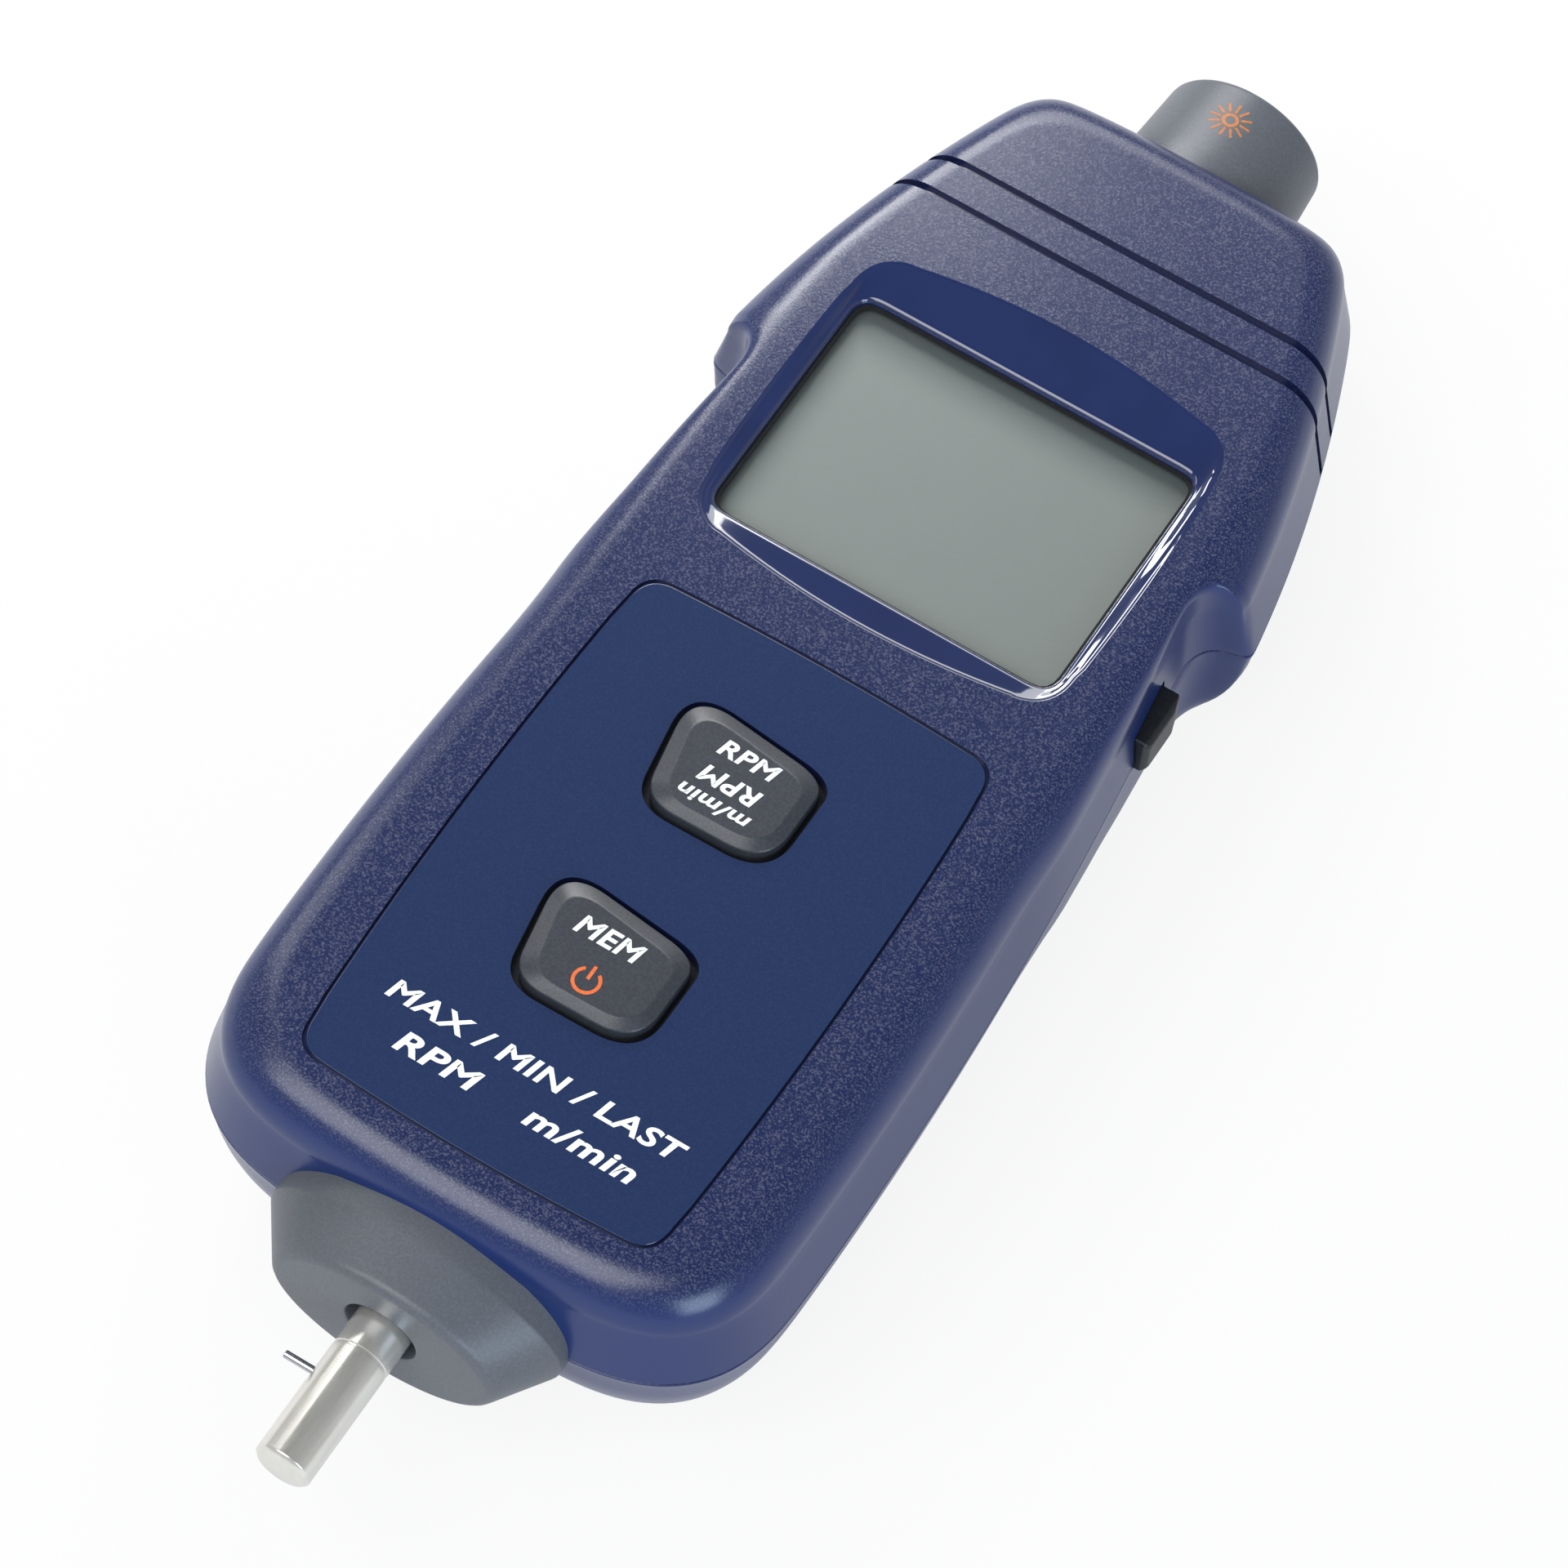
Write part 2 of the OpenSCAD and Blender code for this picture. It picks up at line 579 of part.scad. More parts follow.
module shaft_spacer() color("#b08d4a") difference() {
  rod_y(4.6, front_y + bearing_l, rear_y);
  rod_y(shaft_r, -90, -60);
}

module encoder_disc() color("#222326") difference() {
  union() {
    rod_y(disc_r, disc_y, disc_y + 1.2);
    rod_y(4.7, rear_y + bearing_l, disc_y + 1.2);
  }
  rod_y(shaft_r, -75, -50);
  for (i = [0:disc_slots - 1])
    translate([0, 0, axis_z]) rotate([0, i * 360 / disc_slots, 0])
      translate([disc_r - 3.4, disc_y - 1, -0.6]) cube([2.4, 4, 1.2]);
}

module retaining_clip() color("#77797c") difference() {
  rod_y(5.4, disc_y + 1.2, disc_y + 1.9);
  rod_y(shaft_r, -75, -50);
}

module slot_sensor() color("#17181a") difference() {
  box(6.6, 15, disc_y - 1.6, disc_y + 2.6, axis_z - 2.6, axis_z + 2.6);
  box(0, disc_r + 0.6, disc_y - 0.6, disc_y + 1.8, axis_z - 5, axis_z + 5);
}

module encoder_board() color("#2f6b45")
  box(15, 16.4, -66, disc_y + 2.6, floor_z, axis_z + 8);

module battery_cells() color("#3b3f46")
  for (i = [0:3]) {
    s = i % 2 == 0 ? 1 : -1;
    rod_x(cell_d / 2, -cell_l / 2 + (s > 0 ? 0 : 1), cell_l / 2 - (s > 0 ? 1 : 0), cells[i],
      door_t + 0.5 + cell_d / 2);
    rod_x(2.7, s > 0 ? 0 : -cell_l / 2, s > 0 ? cell_l / 2 : 0, cells[i], door_t + 0.5 + cell_d / 2);
  }

module battery_contacts() color("#c4c6c8")
  for (i = [0:3], s = [-1, 1]) {
    box(min(s * bay_x, s * (bay_x - 0.4)), max(s * bay_x, s * (bay_x - 0.4)), cells[i] - 4.5, cells[i] + 4.5,
      door_t + 2, door_t + 13);
    rod_x(2.4, min(s * cell_l / 2, s * (bay_x - 0.3)), max(s * cell_l / 2, s * (bay_x - 0.3)), cells[i],
      door_t + 0.5 + cell_d / 2);
  }

module case_screws() color("#8f9194")
  for (p = posts) {
    z = seat_at(p);
    peg(p, 1.25, z - 1, screw_top);
    difference() {
      peg(p, 2.5, z - 2, z);
      translate([p[0] - 1.7, p[1] - 0.35, z - 3]) cube([3.4, 0.7, 2]);
      translate([p[0] - 0.35, p[1] - 1.7, z - 3]) cube([0.7, 3.4, 2]);
    }
  }

module board_screws() color("#8f9194")
  for (p = board_posts) {
    peg(p, 1, board_z - 1, board_screw_top);
    peg(p, 1.9, board_z - 1.5, board_z);
  }

top_case();
bottom_case();
battery_door();
panel_overlay();
mode_key();
memory_key();
measure_button();
display_gasket();
display_window();
display_glass();
display_frame();
contact_strips();
main_board();
board_parts();
key_switches();
measure_switch();
nose_barrel();
nose_lens();
sensor_holder();
laser_module();
photo_sensor();
sensor_board();
shaft_collar();
bearing_block();
bearing_outer_rings();
bearing_inner_rings();
drive_shaft();
drive_pin();
shaft_spacer();
encoder_disc();
retaining_clip();
slot_sensor();
encoder_board();
battery_cells();
battery_contacts();
case_screws();
board_screws();
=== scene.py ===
import math
import bmesh
import bpy
import numpy as np
from mathutils import Matrix, Vector


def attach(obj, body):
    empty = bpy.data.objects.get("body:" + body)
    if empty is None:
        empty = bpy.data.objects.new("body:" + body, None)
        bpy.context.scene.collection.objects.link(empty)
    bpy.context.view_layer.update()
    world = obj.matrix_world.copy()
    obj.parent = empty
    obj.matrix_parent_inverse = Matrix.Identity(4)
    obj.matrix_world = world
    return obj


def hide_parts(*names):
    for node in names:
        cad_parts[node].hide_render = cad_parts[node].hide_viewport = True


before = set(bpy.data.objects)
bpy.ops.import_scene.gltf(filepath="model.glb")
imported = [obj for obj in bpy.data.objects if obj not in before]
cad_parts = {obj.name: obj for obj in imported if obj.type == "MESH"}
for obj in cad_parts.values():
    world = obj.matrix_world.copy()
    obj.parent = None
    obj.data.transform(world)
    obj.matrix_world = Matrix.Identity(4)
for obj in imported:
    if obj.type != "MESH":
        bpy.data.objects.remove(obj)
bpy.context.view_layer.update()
print("frame loaded:", len(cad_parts), "nodes")

mm = 0.001


def toLinear(hexColour):  # sRGB hex to linear RGBA
    parts = [int(hexColour[i:i + 2], 16) / 255 for i in (1, 3, 5)]
    return [p / 12.92 if p <= 0.04045 else ((p + 0.055) / 1.055) ** 2.4 for p in parts] + [1.0]


def addNode(tree, kind, settings, links):  # one node, its settings, and {input: (node, output)}
    node = tree.nodes.new(kind)
    for key, value in settings.items():
        if key in node.inputs:
            node.inputs[key].default_value = value
        else:
            setattr(node, key, value)
    for key, (source, output) in links.items():
        tree.links.new(source.outputs[output], node.inputs[key])
    return node


def newMaterial(name, **sockets):  # Principled material with constant sockets set on the shader
    material = bpy.data.materials.new(name)
    material.use_nodes = True
    shader = material.node_tree.nodes["Principled BSDF"]
    for key, value in sockets.items():
        shader.inputs[key.replace("_", " ")].default_value = value
    return material, material.node_tree, shader


def addNoise(tree, sizeMm, **settings):  # noise of a size, fixed to the piece
    coord = addNode(tree, "ShaderNodeTexCoord", {}, {})
    settings["Scale"] = 1 / (sizeMm * mm)
    return addNode(tree, "ShaderNodeTexNoise", settings, {"Vector": (coord, "Object")})


def addRamp(tree, shader, source, dark, light, output="Fac"):  # base colour that runs from one shade to another
    ramp = addNode(tree, "ShaderNodeValToRGB", {}, {"Fac": (source, output)})
    for stop, shade in zip(ramp.color_ramp.elements, (dark, light)):
        stop.color = toLinear(shade)
    tree.links.new(ramp.outputs["Color"], shader.inputs["Base Color"])
    return ramp


def addBump(tree, shader, source, strength, depthMm):
    bump = addNode(tree, "ShaderNodeBump", {"Strength": strength, "Distance": depthMm * mm},
                   {"Height": (source, "Fac")})
    tree.links.new(bump.outputs["Normal"], shader.inputs["Normal"])
    return bump


def addGrain(tree, shader, dark, light, grainMm, depthMm, strength, share):
    # moulded grain: two colours in specks and a bump of the same size
    speck = addNoise(tree, grainMm, Detail=2.0, Roughness=0.55)
    ramp = addRamp(tree, shader, speck, dark, light)
    ramp.color_ramp.elements[0].position = share
    ramp.color_ramp.elements[1].position = min(share + 0.2, 1.0)
    return addBump(tree, shader, speck, strength, depthMm), ramp


# ABS of the case, spark-eroded mould: deep navy with a fine grain; on the upward face its light specks are grey, a
# painted glint for the sheen of the grain's crests; the walls, where the mould draws, are almost smooth and get the
# plain bluer colour, unglinted
# the real grain is about 0.1 mm wide, and is drawn coarser so that it shows in the render
caseLook = {"dark": "#18254f", "light": "#555970", "wall": "#162b62", "rough": 0.235, "grainMm": 0.23,
            "depthMm": 0.12, "share": 0.478, "wallBump": 0.05, "faceBump": 0.19, "wallTilt": 0.3, "glintSpeckTilt": 0.5,
            "faceTilt": 0.95}


def mouldedAbs():
    material, tree, shader = newMaterial("mouldedNavyAbs", Roughness=caseLook["rough"], IOR=1.53)
    bump, ramp = addGrain(tree, shader, caseLook["dark"], caseLook["light"], caseLook["grainMm"],
                          caseLook["depthMm"], caseLook["faceBump"], caseLook["share"])
    geometry = addNode(tree, "ShaderNodeNewGeometry", {}, {})
    axes = addNode(tree, "ShaderNodeSeparateXYZ", {}, {"Vector": (geometry, "Normal")})
    upward = addNode(tree, "ShaderNodeMapRange",
                     {"From Min": caseLook["wallTilt"], "From Max": caseLook["faceTilt"],
                      "To Min": caseLook["wallBump"], "To Max": caseLook["faceBump"]}, {"Value": (axes, "Z")})
    tree.links.new(upward.outputs["Result"], bump.inputs["Strength"])
    # faces that tilt up get the grainy colour with its grey specks, painted glints; the walls get the plain bluer
    # colour
    paintedGlintShare = addNode(tree, "ShaderNodeMapRange",
                       {"From Min": caseLook["glintSpeckTilt"], "From Max": caseLook["faceTilt"]}, {"Value": (axes, "Z")})
    blend = addNode(tree, "ShaderNodeMix", {"data_type": "RGBA"}, {0: (paintedGlintShare, "Result")})
    blend.inputs[6].default_value = toLinear(caseLook["wall"])
    tree.links.new(ramp.outputs["Color"], blend.inputs[7])
    tree.links.new(blend.outputs[2], shader.inputs["Base Color"])
    return material


# same ABS, polished mould: a mirror-like slope round the display
def polishedAbs():
    material, tree, shader = newMaterial("polishedNavyAbs", Roughness=0.07, IOR=1.53, Coat_Weight=1.0,
                                         Coat_Roughness=0.03)
    wave = addNoise(tree, 7, Detail=1.0)
    addRamp(tree, shader, wave, "#16244e", "#1c2b5a")
    addBump(tree, shader, wave, 0.25, 0.03)
    return material


filmGrain = {"grainMm": 0.22, "depthMm": 0.01, "strength": 0.2, "share": 0.45}
satinGrain = {"grainMm": 0.3, "depthMm": 0.02, "strength": 0.35, "share": 0.42}


# polycarbonate overlay film, matt hard coat: even and deep, a soft sheen
def overlayFilm():
    material, tree, shader = newMaterial("hardCoatedNavyFilm", Roughness=0.16, IOR=1.58)
    addGrain(tree, shader, "#203056", "#26365c", **filmGrain)
    return material


def satinPlastic(name, dark, light, rough):  # moulded satin plastic: faint even grain
    material, tree, shader = newMaterial(name, Roughness=rough, IOR=1.5)
    addGrain(tree, shader, dark, light, **satinGrain)
    return material


# liquid crystal cell behind its polariser: even grey-green, with painted shade that darkens it
# towards its upper and left edges, where the deep frame shades it
cellLook = {"lit": "#8f9392", "shaded": "#5e6668", "headFrom": 44, "headTo": 52.5, "leftFrom": -18, "leftTo": -24.5}


def displayCell():
    material, tree, shader = newMaterial("polarisedDisplayGlass", Roughness=0.4, IOR=1.5)
    coord = addNode(tree, "ShaderNodeTexCoord", {}, {})
    axes = addNode(tree, "ShaderNodeSeparateXYZ", {}, {"Vector": (coord, "Object")})
    head = addNode(tree, "ShaderNodeMapRange", {"From Min": cellLook["headFrom"] * mm,
                                                "From Max": cellLook["headTo"] * mm}, {"Value": (axes, "Y")})
    left = addNode(tree, "ShaderNodeMapRange", {"From Min": cellLook["leftFrom"] * mm,
                                                "From Max": cellLook["leftTo"] * mm}, {"Value": (axes, "X")})
    # painted shade: share of the shaded colour, rising towards the upper and left edges
    shade = addNode(tree, "ShaderNodeMath", {"operation": "MAXIMUM"}, {0: (head, "Result"), 1: (left, "Result")})
    ramp = addRamp(tree, shader, shade, cellLook["lit"], cellLook["shaded"], "Value")
    ramp.color_ramp.interpolation = "EASE"
    return material


# cast acrylic: lets light straight through and mirrors a little, more at a flat angle
def clearAcrylic():
    material = bpy.data.materials.new("castAcrylic")
    material.use_nodes = True
    tree = material.node_tree
    tree.nodes.clear()
    haze = addNoise(tree, 12, Detail=3.0)
    rough = addNode(tree, "ShaderNodeMapRange", {"To Min": 0.015, "To Max": 0.05}, {"Value": (haze, "Fac")})
    mirror = addNode(tree, "ShaderNodeBsdfGlossy", {"Color": toLinear("#ffffff")}, {"Roughness": (rough, "Result")})
    clear = addNode(tree, "ShaderNodeBsdfTransparent", {"Color": toLinear("#fafcfb")}, {})
    facing = addNode(tree, "ShaderNodeLayerWeight", {"Blend": 0.2}, {})
    edge = addNode(tree, "ShaderNodeMapRange", {"To Min": 0.03, "To Max": 0.5}, {"Value": (facing, "Facing")})
    mix = addNode(tree, "ShaderNodeMixShader", {}, {"Fac": (edge, "Result")})
    tree.links.new(clear.outputs["BSDF"], mix.inputs[1])
    tree.links.new(mirror.outputs["BSDF"], mix.inputs[2])
    addNode(tree, "ShaderNodeOutputMaterial", {}, {"Surface": (mix, "Shader")})
    return material


# nickel plate on turned steel: bright, with fine lathe rings and rubbed streaks
def nickelPlate():
    material, tree, shader = newMaterial("nickelPlatedSteel", Metallic=0.75)
    coord = addNode(tree, "ShaderNodeTexCoord", {}, {})
    along = addNode(tree, "ShaderNodeMapping", {"Scale": (1.0, 0.12, 1.0)}, {"Vector": (coord, "Object")})
    rub = addNode(tree, "ShaderNodeTexNoise", {"Scale": 1 / (0.9 * mm), "Detail": 4.0}, {"Vector": (along, "Vector")})
    rough = addNode(tree, "ShaderNodeMapRange", {"To Min": 0.1, "To Max": 0.34}, {"Value": (rub, "Fac")})
    tree.links.new(rough.outputs["Result"], shader.inputs["Roughness"])
    addRamp(tree, shader, rub, "#d6d3cb", "#f2f0ea")
    rings = addNode(tree, "ShaderNodeTexWave", {"Scale": 1 / (1.2 * mm), "Distortion": 0.6, "bands_direction": "Y"},
                    {"Vector": (coord, "Object")})
    addBump(tree, shader, rings, 0.06, 0.01)
    return material


def plainMetal(name, dark, light, rough):  # worked metal: cloudy roughness
    material, tree, shader = newMaterial(name, Metallic=1.0)
    cloud = addNoise(tree, 1.5, Detail=3.0)
    wear = addNode(tree, "ShaderNodeMapRange", {"To Min": rough * 0.7, "To Max": rough * 1.4},
                   {"Value": (cloud, "Fac")})
    tree.links.new(wear.outputs["Result"], shader.inputs["Roughness"])
    addRamp(tree, shader, cloud, dark, light)
    return material


# dark red optical plastic in front of the laser
def redOptic():
    material, tree, shader = newMaterial("redOpticalPlastic", Roughness=0.05, IOR=1.49, Transmission_Weight=0.6)
    addRamp(tree, shader, addNoise(tree, 6), "#3a0a0e", "#521015")
    return material


looks = {
    "case": mouldedAbs(), "polished": polishedAbs(), "overlay": overlayFilm(),
    # ABS off the smooth inside of the mould, darker than the case's own walls: painted shade for the grooves, holes
    # and recesses it covers, with a small glint on its edges
    "groove": satinPlastic("smoothNavyAbsPaintedShade", "#161e42", "#1d264c", 0.16),
    # ABS from finely textured moulds: even, with a soft band of light on the bevels
    "key": satinPlastic("satinCharcoalAbs", "#34373e", "#3d4149", 0.36),
    "grey": satinPlastic("satinGreyAbs", "#575b62", "#5e636b", 0.4),
    "whitePlastic": satinPlastic("whiteMouldedAbs", "#cfd2cd", "#dcdfd9", 0.5),
    # moulded rubber and die-cut foam: nearly black, dull to dead matt
    "rubber": satinPlastic("mouldedBlackRubber", "#14171b", "#20242a", 0.4),
    "gasket": satinPlastic("blackFoam", "#0a0b0c", "#141517", 0.85),
    "elastomer": satinPlastic("stripedElastomer", "#c98f96", "#dba3a9", 0.6),
    "display": displayCell(), "acrylic": clearAcrylic(), "optic": redOptic(), "nickel": nickelPlate(),
    # screen ink: flat colour that stands a hair above what it is printed on
    "ink": satinPlastic("whiteScreenInk", "#e9efef", "#f6fafa", 0.55),
    "orangeInk": satinPlastic("orangeScreenInk", "#e0662a", "#ea7434", 0.55),
    "fadedInk": satinPlastic("fadedOrangeInk", "#b3703f", "#bd7a48", 0.55),
    # epoxy board under solder mask, moulded epoxy chips, printed jackets of the cells
    "board": satinPlastic("greenSolderMask", "#1f5a38", "#2a6d47", 0.35),
    "chip": satinPlastic("blackMouldedEpoxy", "#15171a", "#232529", 0.5),
    "cell": satinPlastic("printedCellJacket", "#33373e", "#41464e", 0.3),
    # turned, ground and plated metals: bright, with a cloudy shine
    "brass": plainMetal("turnedBrass", "#a8873f", "#c7a65c", 0.3),
    "bearing": plainMetal("groundBearingSteel", "#a9acb0", "#c9ccd0", 0.22),
    "screw": plainMetal("zincPlatedSteel", "#7d8084", "#9da1a6", 0.35),
}
print("materials made:", len(looks))

nodeLooks = {
    "display_gasket": "gasket", "display_window": "acrylic", "display_glass": "display",
    "display_frame": "whitePlastic", "contact_strips": "elastomer", "main_board": "board", "board_parts": "chip",
    "key_switches": "chip", "measure_switch": "chip", "nose_lens": "optic", "sensor_holder": "chip",
    "laser_module": "brass", "photo_sensor": "chip", "sensor_board": "board", "bearing_block": "grey",
    "bearing_outer_rings": "bearing", "bearing_inner_rings": "bearing", "shaft_spacer": "brass",
    "encoder_disc": "chip", "retaining_clip": "bearing", "slot_sensor": "chip", "encoder_board": "board",
    "battery_cells": "cell", "battery_contacts": "nickel", "case_screws": "screw", "board_screws": "screw",
}
for nodeName, look in nodeLooks.items():
    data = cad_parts[nodeName].data
    data.materials.clear()
    data.materials.append(looks[look])
print("frame nodes dressed:", len(nodeLooks))


def makePiece(name, points, faces, look, smoothDegrees=35):  # mesh object from points in millimetres
    mesh = bpy.data.meshes.new(name)
    mesh.from_pydata([Vector(p) * mm for p in points], [], faces)
    mesh.materials.append(looks[look])
    mesh.update()
    piece = bpy.data.objects.new(name, mesh)
    bpy.context.scene.collection.objects.link(piece)
    finishMesh(piece, smoothDegrees)
    return piece


def finishMesh(piece, smoothDegrees=35):  # outward faces, smooth below the angle, sharp above it
    work = bmesh.new()
    work.from_mesh(piece.data)
    bmesh.ops.recalc_face_normals(work, faces=work.faces)
    work.to_mesh(piece.data)
    work.free()
    piece.data.shade_smooth()
    piece.data.set_sharp_from_angle(angle=math.radians(smoothDegrees))


def evenShading(piece):  # flat faces shade flat right up to their rounded edges
    weigh = piece.modifiers.new("evenShading", "WEIGHTED_NORMAL")
    weigh.keep_sharp = True
    weigh.weight = 100


def ringFaces(n, m, start=0):  # quads between m stacked rings of n points
    faces = []
    for k in range(m - 1):
        low, high = start + k * n, start + (k + 1) * n
        faces += [[low + i, low + (i + 1) % n, high + (i + 1) % n, high + i] for i in range(n)]
    return faces


def loftPiece(name, rings, look, smoothDegrees=35):  # closed solid through rings of equal count
    n, m = len(rings[0]), len(rings)
    faces = ringFaces(n, m) + [list(range(n)), [(m - 1) * n + i for i in range(n)]]
    return makePiece(name, [p for ring in rings for p in ring], faces, look, smoothDegrees)


def tubePiece(name, rings, look):  # closed ring of rings: outside, front, bore and back
    n, m = len(rings[0]), len(rings)
    faces = ringFaces(n, m) + [[(m - 1) * n + i, (m - 1) * n + (i + 1) % n, (i + 1) % n, i] for i in range(n)]
    return makePiece(name, [p for ring in rings for p in ring], faces, look)


def joinPieces(piece, others):  # one object from several closed meshes
    work = bmesh.new()
    for other in [piece] + others:
        work.from_mesh(other.data)
    work.to_mesh(piece.data)
    work.free()
    for other in others:
        bpy.data.objects.remove(other)
    finishMesh(piece)
    return piece


def revolvePiece(name, profile, look, turns):  # profile of (radius, y) about the shaft axis
    angles = [2 * math.pi * i / turns for i in range(turns)]
    rings = [[(r * math.cos(a), y, case["axisZ"] + r * math.sin(a)) for a in angles] for r, y in profile]
    return loftPiece(name, rings, look, 30)


def cut(piece, cutters, operation="DIFFERENCE"):  # exact booleans, cut faces keep the cutter's material
    for cutter in cutters:
        step = piece.modifiers.new("cut", "BOOLEAN")
        step.operation = operation
        step.solver = "EXACT"
        step.material_mode = "TRANSFER"
        step.object = cutter
        graph = bpy.context.evaluated_depsgraph_get()
        mesh = bpy.data.meshes.new_from_object(piece.evaluated_get(graph))
        piece.modifiers.clear()
        old = piece.data
        piece.data = mesh
        bpy.data.meshes.remove(old)
    for cutter in cutters:
        bpy.data.objects.remove(cutter)


def slabPiece(name, outline, low, high, look="groove"):  # flat piece with an outline in x and y
    return loftPiece(name, [[(x, y, low) for x, y in outline], [(x, y, high) for x, y in outline]], look)


def boxPiece(name, low, high, look="groove"):
    outline = [(low[0], low[1]), (high[0], low[1]), (high[0], high[1]), (low[0], high[1])]
    return slabPiece(name, outline, low[2], high[2], look)


def bez(a, c, b, n):  # points of a quadratic curve from a to b, pulled towards c
    t = np.linspace(0, 1, n + 1)[:, None]
    return np.array(a) * (1 - t) ** 2 + 2 * np.array(c) * t * (1 - t) + np.array(b) * t ** 2


case = {"bodyW": 74.4, "guardW": 74.8, "notchW": 62.4, "headW": 49.6, "bodyH": 36.0, "axisZ": 21.4, "headEnd": 93.8,
        "footEnd": 78.4, "guardY": 41.2, "shoulder": 7.4, "draft": 1.8, "under": 16.0, "backLean": 0.3, "wall": 2.0,
        "seam": 0.35, "edgeDrop": 6.2, "backRise": 21.0, "wideY": -45.0, "notchY": 35.2, "headFlat": 6.0,
        "guardTop": 43.0, "guardEase": 0.2, "bridgeLow": -10.0, "bridgeHigh": 56.0, "scoopEnd": 60.0,
        "handOver": 14.0, "waistLow": 14.0, "waistHigh": 50.0, "bendZ": 28.8}


def handleX(y):  # half width of the handle
    narrowing = ((y - case["wideY"]) / (case["notchY"] - case["wideY"])) ** 2
    return case["bodyW"] / 2 - (case["bodyW"] - case["notchW"]) / 2 * narrowing


def headX(y):  # half width of the head
    corner = case["headEnd"] - case["headFlat"]
    s = (corner - y) / (corner - case["guardTop"])
    widening = case["guardW"] / 2 - case["guardEase"] - case["headW"] / 2
    return case["headW"] / 2 + widening * (1.5 * s - 0.5 * s * s)


def plainX(y, d):  # half width with the notch bridged, set in by d
    low, high = case["bridgeLow"], case["bridgeHigh"]
    if y < low:
        return handleX(y) - d
    if y > high:
        return headX(y) - d
    return handleX(low) - d + (headX(high) - handleX(low)) * (y - low) / (high - low)


def along(width, start, end, count):  # outline points between two places on the side
    return np.array([[width(y), y] for y in np.linspace(start, end, count)])


def mirrored(half):
    return np.vstack([half, [[-x, y] for x, y in half[-2:0:-1]]])


def fullRim():  # outline at the parting line, guards and notches in it
    e, f, g, h = case["headEnd"], -case["footEnd"], case["guardY"], case["headEnd"] - 7
    w, n = case["guardW"] / 2, case["notchW"] / 2
    half = np.vstack([
        bez((0, e), (12, e), (17.4, e - 0.6), 11), bez((18, e - 0.7), (22.6, e - 1.2), (headX(h), h), 15),
        along(headX, h - 1.5, g + 3.2, 24),
        bez((headX(g + 2), g + 2), (w + 0.3, g + 0.3), (w - 2, g - 0.1), 11),
        bez((w - 3, g - 0.3), (n - 0.1, g - 1.2), (n, g - 6.2), 19),
        along(handleX, g - 8, -58, 40),
        bez((handleX(f + 18.4), f + 18.4), (case["bodyW"] / 2 - 1, f + 2.2), (19.5, f + 0.75), 23),
        bez((18.6, f + 0.7), (10, f), (0, f), 11)])
    return mirrored(half)


def plainRim(d):  # outline with the notches bridged, point for point with fullRim
    e, f, g, h = case["headEnd"] - d, d - case["footEnd"], case["guardY"], case["headEnd"] - 7 - 0.9 * d
    width = lambda y: plainX(y, d)
    footY = f + 17 - 0.4 * d
    half = np.vstack([
        bez((0, e), (12 - 0.3 * d, e), (17 - 0.5 * d, e - 0.5), 11),
        bez((17.4 - 0.5 * d, e - 0.6), (22.6 - 0.6 * d, e - 1), (width(h), h), 15),
        along(width, h - 1.2, g + 6.4, 24),
        along(width, g + 6, g + 1.2, 12), along(width, g + 0.8, g - 7, 20),
        along(width, g - 7.6, footY + 1, 40),
        bez((width(footY), footY), (case["bodyW"] / 2 - 1 - d, f + 2.2), (19.3 - 0.35 * d, f + 0.75), 23),
        bez((18.5 - 0.35 * d, f + 0.7), (10, f), (0, f), 11)])
    return mirrored(half)


def eased(outline, passes):  # softens the joins between stretches
    for _ in range(passes):
        outline = 0.5 * outline + 0.25 * (np.roll(outline, 1, 0) + np.roll(outline, -1, 0))
    return outline


def inset(outline, d):  # outline moved inwards along its own normals
    t = np.roll(outline, -1, 0) - np.roll(outline, 1, 0)
    return outline + d * np.column_stack([t[:, 1], -t[:, 0]]) / np.linalg.norm(t, axis=1)[:, None]


def lifted(outline, z):
    return np.column_stack([outline, np.full(len(outline), z)])


rim = eased(fullRim(), 6)
innerTop = case["bodyH"] - case["wall"]


def bodyX(y):  # half width before the scoops below the guards are cut
    g, low = case["guardTop"], case["bridgeLow"]
    if y > g:
        return headX(y)
    return plainX(y, 0) + (headX(g) - plainX(g, 0)) * (max(y - low, 0) / (g - low)) ** 3


def softMin(a, b, k):  # smaller of two lengths, rounded over k
    h = max(k - abs(a - b), 0) / k
    return min(a, b) - h * h * k / 4


def section(lean, d, share, less=0.0):  # outline on the way from the wall to the flat; scoops stay upright
    p = inset(rim, less)
    q, t = inset(p, lean), inset(eased(plainRim(d), 10), less)
    out = q + (t - q) * share
    start, end, over = case["bridgeLow"], case["scoopEnd"], case["handOver"]
    for i, (x, y) in enumerate(p):
        if start < y < end:
            b = bodyX(y) - lean - less
            k = max(min(2.0, b + lean - abs(x)), 0.01)
            m = softMin(abs(x) - lean / 2, b + (plainX(y, d) - less - b) * share, k)
            # hands over to the plain outline at both ends
            keep = max(min((end - y) / over, (y - start) / over, 1), 0)
            out[i] += (np.array((math.copysign(m, x), y)) - out[i]) * keep
    return out


def innerRim(d):  # cavity outline, kept inside the notches
    outline = eased(plainRim(d), 4)
    limit = case["notchW"] / 2 - case["wall"] - 0.3 * max(d - case["wall"], 0)
    middle = (outline[:, 1] > case["waistLow"]) & (outline[:, 1] < case["waistHigh"])
    outline[middle, 0] = np.clip(outline[middle, 0], -limit, limit)
    return outline


